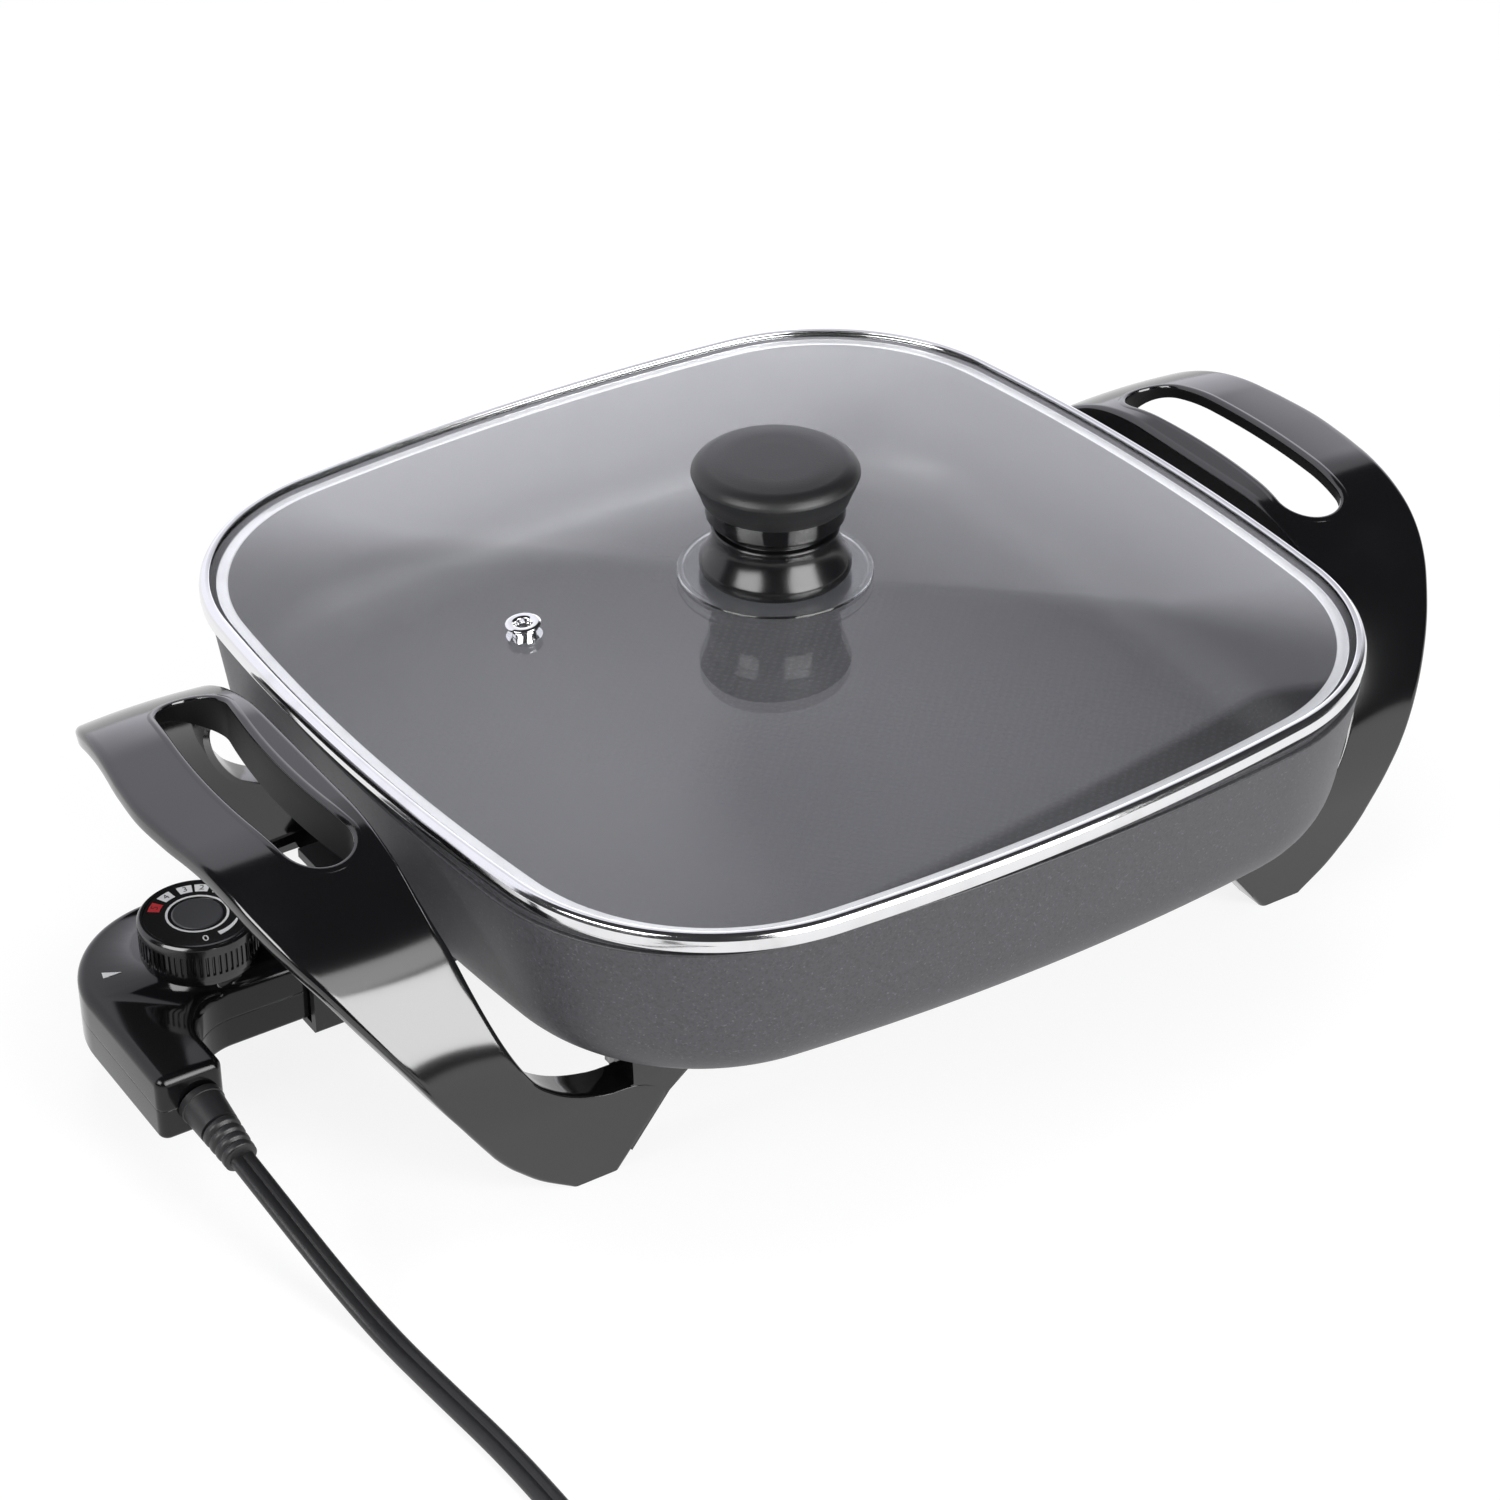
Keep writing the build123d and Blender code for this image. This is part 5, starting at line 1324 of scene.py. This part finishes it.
@dataclass(frozen=True)
class Dial:
    """Fluted dial with its printed scale."""

    centre: Pair = (PAN_X - 194.8, 7.4)
    top_z: float = 55.4
    radius: float = 17.6
    flutes: int = 60
    flute_depth: float = 0.62
    flute_half: float = 0.46    # half of a flute's width
    flute_span: Pair = (45.4, 51.5)
    flute_points: int = 12
    mark_depths: Pair = (0.16, 0.24)     # of a mark's faces under the dial's top
    ring_radii: Pair = (8.55, 9.25)
    wedge_radius: float = 12.05
    wedge_halves: Pair = (0.85, 0.15)
    wedge_span: Pair = (275.0, 331.0)
    block_radii: Pair = (11.1, 14.6)
    block_half: float = 9.2     # degrees
    block_angles: tuple[float, ...] = (32.0, 58.0, 80.0, 108.0, 135.0)
    zero_angle: float = 255.0

    def knob(self) -> Array:
        """Turned profile whose skirt is cut by upright flutes.

        A flute lowers the radius by its depth times (1 - (offset / half width)^4), over its own
        height only.
        """
        out = self.radius
        points = [
            (3.05, 53.4, 0), (15.0, 53.4, 0.3), (15.0, 41.5, 0.3), (17.0, 41.5, 0.3),
            (17.0, 43.1, 0.3), (out, 43.2, 0.2), (out, 45.1, 0), (out, 45.5, 0), (out, 47.5, 0),
            (out, 49.5, 0), (out, 51.3, 0), (out, 51.8, 0), (out, 54.4, 0.5), (16.9, 55.35, 0.7),
            (15.9, self.top_z, 0.3), (15.5, 55.2, 0.2), (7.9, 55.2, 0.1), (7.7, 54.65, 0.1),
            (3.05, 54.6, 0),
        ]
        profile = rounded_profile(points, 4)
        angle = circle(self.flutes * self.flute_points)
        surface = lathe(profile, self.centre, len(angle))
        pitch = 2 * pi / self.flutes
        offset = np.abs((angle + pitch / 2) % pitch - pitch / 2) * out / self.flute_half
        radius, height = profile.T
        low, high = self.flute_span
        fluted = (height > low) & (height < high) & (radius > out - 0.3)
        cut = self.flute_depth * fluted[:, None] * np.clip(1 - offset**4, 0, 1)
        surface[..., :2] -= polar(cut, angle) * MM
        return surface

    def arc(self, inner: Any, outer: Any, span: Pair, count: int) -> Array:
        """Thin plate in the dial's face between two radii, over a span of angles in degrees.

        Its four rows are its section's corners; a plate that doesn't go all round gets a point at
        both ends.
        """
        whole = span[1] - span[0] >= 360
        angle = np.radians(np.linspace(*span, count, endpoint=not whole))
        radius = np.stack([np.broadcast_to(side, count) for side in (inner, outer, outer, inner)])
        flat = polar(radius, angle, self.centre)
        height = self.top_z - np.repeat(self.mark_depths, 2)[:, None]
        plate = metres(flat[..., 0], flat[..., 1], height)
        if not whole:
            ends = np.broadcast_to(plate.mean(0), plate.shape)
            plate = np.concatenate([ends[:, :1], plate, ends[:, -1:]], 1)
        return plate

    def mark(self, name: str, points: Array, finish: Finish, around: bool = False) -> None:
        """One printed mark, a thin plate on the face."""
        add_surface(name, points, "temperature_dial", finish, "white_mark", closed=True,
                    around=around)

    def figure(
        self, text: str, angle: float, radius: float, size: float, finish: Finish, sunk: float
    ) -> None:
        """A plain number on the face, its foot towards the dial's middle.

        Args:
            text: the number.
            angle: where it stands, degrees from +X.
            radius: millimetres from the middle.
            size: height in millimetres.
            finish: its ink.
            sunk: millimetres under the dial's top.
        """
        data = bpy.data.curves.new(f"figure_{text}", "FONT")
        data.body = text
        data.size = size * 1.4 * MM
        data.align_x, data.align_y = "CENTER", "CENTER"
        data.resolution_u = 3
        data.extrude = 0.02 * MM
        mesh = curve_mesh(data)
        place = read_vectors(mesh.vertices, "co")
        spot = polar(radius, np.array(radians(angle)), self.centre)
        place[:, :2] = rotated(place[:, :2], radians(angle) - pi / 2) + spot * MM
        place[:, 2] += (self.top_z - sunk) * MM
        mesh.vertices.foreach_set("co", place.ravel())
        add_piece(f"figure_{text}", tidy(mesh), "temperature_dial", finish, "white_mark")

    def build(self) -> None:
        """Makes the dial, its centre disc and its scale."""
        add_surface("dial_knob", self.knob(), "temperature_dial", Finish.SATIN, "satin_black",
                    ["dial"], closed=True)
        disc = rounded_profile(
            [(0, 54.6, 0), (7.55, 54.6, 0), (7.6, 55.2, 0.3), (7.1, 55.5, 0.3), (0, 55.55, 0)], 5)
        add_surface("dial_disc", lathe(disc, self.centre), "temperature_dial", Finish.CAP,
                    "cap_grey", ["dial_cap"])
        ring = self.arc(*self.ring_radii, (0.0, 360.0), 96)
        self.mark("scale_ring", ring, Finish.WHITE, around=True)
        half = np.linspace(*self.wedge_halves, 40)
        wedge = self.arc(self.wedge_radius - half, self.wedge_radius + half, self.wedge_span, 40)
        self.mark("scale_wedge", wedge, Finish.WHITE)
        for number, angle in enumerate(self.block_angles, 1):
            finish = Finish.RED if number == len(self.block_angles) else Finish.WHITE
            span = angle - self.block_half, angle + self.block_half
            self.mark(f"scale_block_{number}", self.arc(*self.block_radii, span, 9), finish)
            self.figure(str(number), angle, 12.9, 2.3, Finish.DARK_INK, 0.145)
        self.figure("0", self.zero_angle, 12.4, 2.8, Finish.WHITE, 0.185)


# ---- Cord ----


@dataclass(frozen=True)
class Cord:
    """Flat twin cord from the strain relief to the plug, its spare length coiled and tied."""

    width: float = 7.3
    thickness: float = 4.2
    length: float = 0.822
    relief_tip: Point = (-218.4, -63.0, 23.2)
    relief_root: Point = (-219.2, -39.5, 27.9)
    relief_radii: Pair = (6.6, 5.0)
    rib_run: float = 12.6       # that the ribs take up at the tip
    ribs: int = 4
    rib_depth: float = 0.85
    collar_radius: float = 6.75
    collar_length: float = 2.6
    coil_centre: Pair = (-244.0, -263.0)
    turns: float = 2.25
    points_per_turn: int = 16
    tie_half: Pair = (8.9, 5.05)
    tie_z: float = 4.75
    tie_offset: float = 40.4    # from the coil's middle

    def run(self) -> Array:
        """Control points from the relief to the coil, in millimetres from the pan's middle."""
        return np.array([
            self.relief_tip, (-216.6, -84.0, 18.2), (-213.0, -106.0, 9.4), (-209.4, -129.0, 2.5),
            (-207.0, -156.0, 2.3), (-204.2, -185.0, 2.3), (-203.4, -214.0, 2.3),
            (-203.6, -239.0, 2.4),
        ])

    def coil(self) -> Array:
        """Control points of the turns, clockwise: one turn below, the next two on it side by side.

        Radius and height are drawn through their values at given turns; the polygon stands 2%
        outside.
        """
        turn = np.arange(round(self.turns * self.points_per_turn) + 1) / self.points_per_turn
        stops = [0.0, 0.12, 0.78, 1.0, 1.5, 1.75, 2.25]
        radius = np.interp(turn, stops, [40.2, 41.6, 41.2, 37.0, 36.8, 44.0, 44.2]) * 1.02
        height = np.interp(turn, stops, [2.6, 2.3, 2.3, 6.7, 6.7, 6.7, 6.7])
        return np.column_stack([polar(radius, -2 * pi * turn, self.coil_centre), height])

    def tail(self) -> Array:
        """Control points from the coil to the plug's boot."""
        return np.array([(-259.0, -306.4, 6.7), (-273.0, -303.4, 7.6), (-288.0, -302.0, 9.0)])

    def centreline(self) -> Array:
        """The route's smooth line: a NURBS spline through the control points, in metres."""
        route = np.concatenate([self.run(), self.coil(), self.tail()])
        route = (route + (PAN_X, 0, 0)) * MM
        data = bpy.data.curves.new("cord_route", "CURVE")
        data.dimensions = "3D"
        spline = data.splines.new("NURBS")
        spline.points.add(len(route) - 1)
        weighted = np.column_stack([route, np.ones(len(route))])
        spline.points.foreach_set("co", weighted.astype(np.float32).ravel())
        spline.order_u = 3
        spline.use_endpoint_u = True
        spline.resolution_u = 8
        line = curve_mesh(data)
        points = read_vectors(line.vertices, "co").astype(float)
        bpy.data.meshes.remove(line)
        return points

    def tube(self, line: Array, columns: int = 28) -> tuple[Array, Array]:
        """The flat section carried along the line, and its UV map.

        The section is a squared oval, pinched in its middle by a narrow bell so that two cores
        show. It stays level: its wide way is across the line and the floor's normal.

        Args:
            line: the centreline, in metres.
            columns: points of the section.

        Returns:
            Rows by columns by 3 in metres, and rows by columns + 1 by 2.
        """
        ahead = np.gradient(line, axis=0)
        ahead /= np.linalg.norm(ahead, axis=1)[:, None]
        side = np.cross(ahead, (0, 0, 1.0))
        side /= np.linalg.norm(side, axis=1)[:, None]
        top = np.cross(side, ahead)
        angle = circle(columns)
        wide = self.width / 2 * squared(np.cos(angle), 0.8)
        pinch = 1 - 0.36 * np.exp(-((wide / 0.75) ** 2))
        tall = self.thickness / 2 * squared(np.sin(angle), 0.7) * pinch
        points = line[:, None] + (wide[:, None] * side[:, None] + tall[:, None] * top[:, None]) * MM
        run = np.concatenate([[0], np.cumsum(np.linalg.norm(np.diff(line, axis=0), axis=1))])
        uv = np.stack(np.meshgrid(run, np.linspace(0, 1, columns + 1), indexing="ij"), 2)
        ends = np.broadcast_to(points[[0, -1]].mean(1)[:, None], (2, columns, 3))
        uv = np.concatenate([uv[:1], uv, uv[-1:]])
        return np.concatenate([ends[:1], points, ends[1:]]), uv

    def relief(self) -> Array:
        """Strain relief: a plain cone, round ribs near its tip and a rounded mouth."""
        root, tip = np.array(self.relief_root), np.array(self.relief_tip)
        reach = np.linalg.norm(tip - root)
        place = np.linspace(0.0, reach, 150)
        wide, narrow = self.relief_radii
        rib = np.clip((place - (reach - self.rib_run)) / self.rib_run, 0, 1)
        wave = 0.5 + 0.5 * np.cos(2 * pi * rib * self.ribs)
        groove = self.rib_depth * wave**3 * (rib > 0) * (rib < 1)
        collar = self.collar_radius * np.clip((self.collar_length - place) / 0.5, 0, 1)
        radius = np.maximum(wide - (wide - narrow) * place / reach - groove, collar)
        profile = np.column_stack([place, radius])
        profile[-1, 0] -= 0.25
        mouth = [(reach, radius[-1] - 0.5), (reach + 0.25, 2.6), (reach + 0.1, 0.0)]
        profile = np.concatenate([[(0.0, 0.0)], profile, mouth])
        return turned_about(profile, root + (PAN_X, 0, 0), tip - root, 72)

    def tie(self) -> Array:
        """Short band round the coil's far side: a rounded section carried round an oblong."""
        across, up = squared(polar(1.0, circle(48)), 0.45).T
        band = np.array([
            (-2.6, 0.0), (-2.3, 0.45), (0.0, 0.55), (2.3, 0.45), (2.6, 0.0), (0.0, -0.1)])
        grow = 1 + band[:, 1:] / 7.0
        x = self.coil_centre[0] + PAN_X - self.tie_offset + self.tie_half[0] * across * grow
        z = np.maximum(self.tie_z + self.tie_half[1] * up * grow, 0.05)
        return metres(x, self.coil_centre[1] + band[:, :1], z)

    def build(self, plug: Sequence[Object]) -> None:
        """Args:
            plug: the pieces of the plug; not used.
        """
        look = "controller", Finish.SHROUD, "cord_rubber"
        relief = add_surface("cord_relief", self.relief(), *look, ["strain_relief"])
        tie = add_surface("coil_tie", self.tie(), *look, closed=True)
        line = self.centreline()
        points, uv = self.tube(line)
        cord = add_surface("power_cord", points, "controller", Finish.SHEATH, "cord_rubber",
                           ["cord", "cord_coil", "cord_tail"], uv=uv)
        exit_point = tuple((np.array(self.relief_tip) + (PAN_X, 0, 0)) * MM)


@dataclass(frozen=True)
class Plug:
    """Moulded mains plug: ribbed boot, soft-edged body and two flat blades."""

    start: Point = (PAN_X - 288.0, -302.0, 9.0)
    boot: float = 12.0
    boot_half: Pair = (4.7, 3.9)
    boot_growth: Pair = (0.8, 1.2)
    boot_ribs: int = 4
    body_half: Pair = (12.3, 8.85)
    body_places: tuple[float, ...] = (
        0.3, 1.0, 2.5, 5.0, 9.0, 13.0, 17.0, 21.0, 25.0, 29.0, 32.5, 34.6, 35.6, 36.0, 36.0)
    face: float = 33.0          # where the body begins to round off to its face
    waist: float = 14.0

    def shell(self) -> Array:
        """Squared-oval sections along -X that grow from the boot to the body and close."""
        boot = self.boot
        place = np.concatenate([np.linspace(0, boot, 26), boot + np.array(self.body_places)])
        grown = np.clip((place - boot + 0.6) / 5.0, 0, 1) ** 0.5
        rib = 0.45 * np.abs(np.sin(place / boot * self.boot_ribs * pi)) * (place < boot)
        wide, tall = (
            (half + growth * place / boot) * (1 - grown) + full * grown + rib
            for half, growth, full in zip(self.boot_half, self.boot_growth, self.body_half)
        )
        back = np.clip((place - boot - self.face) / 3.0, 0, 1)
        shrink = np.sqrt(np.clip(1 - (0.45 * back) ** 2, 0, 1))
        shrink[[0, -1]] = 0.0
        waist = 1 - 0.10 * np.exp(-(((place - boot - self.waist) / 7.0) ** 2))
        angle = circle(56)
        power = (0.95 - 0.5 * grown)[:, None]
        y = (wide * shrink * waist)[:, None] * squared(np.cos(angle), power)
        z = (tall * shrink)[:, None] * squared(np.sin(angle), power)
        x0, y0, z0 = self.start
        return metres(x0 - place[:, None], y0 + y, z0 + z)

    def build(self) -> list[Object]:
        """Makes the plug's body.

        Returns:
            The body and the blades.
        """
        shell = add_surface("plug_shell", self.shell(), "controller", Finish.SHROUD, "cord_rubber",
                            ["plug_body"])
        return [shell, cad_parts["plug_blades"]]


# ---- The CAD nodes that stay ----


DRESSED: Mapping[Finish, Sequence[str]] = {
    Finish.ELEMENT: ["heating_element"],
    Finish.PIN: ["terminal_pins", "contact_points", "plug_blades"],
    Finish.CERAMIC: ["pin_insulators", "blade_spacers", "socket_block"],
    Finish.SHROUD: ["terminal_shroud"],
    Finish.SCREW: ["shroud_screws", "handle_screws", "handle_washers", "knob_screw", "knob_washer",
                   "housing_screws", "dial_clip", "thermostat_bracket"],
    Finish.CHROME: ["steam_vent_ring"],
    Finish.BRASS: ["knob_insert", "dial_shaft", "contact_blades", "socket_contacts"],
    Finish.WHITE: ["pointer_mark"],
    Finish.PROBE: ["temperature_probe"],
    Finish.LEAD: ["power_leads"],
}


def dress_nodes() -> None:
    """Gives each CAD node that is shown as it is its finish."""
    for finish, names in DRESSED.items():
        for name in names:
            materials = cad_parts[name].data.materials
            materials.clear()
            materials.append(finish.material())
            log.info("%s dressed as %s", name, finish.name.lower())


def write_sizes() -> None:
    """Does nothing."""
    log.info("boxes written")


def main() -> None:
    """Builds the studio and the skillet, piece by piece."""
    logging.basicConfig(level=logging.INFO, format="%(name)s: %(message)s")
    Studio().build()
    Cord().build(Plug().build())
    dress_nodes()
    handles = Handle("left", -1), Handle("right", 1)
    for part in (Pan(), *handles, Lid(), Knob(), Controller(), Dial()):
        part.build()
    write_sizes()


if __name__ == "__main__":
    main()
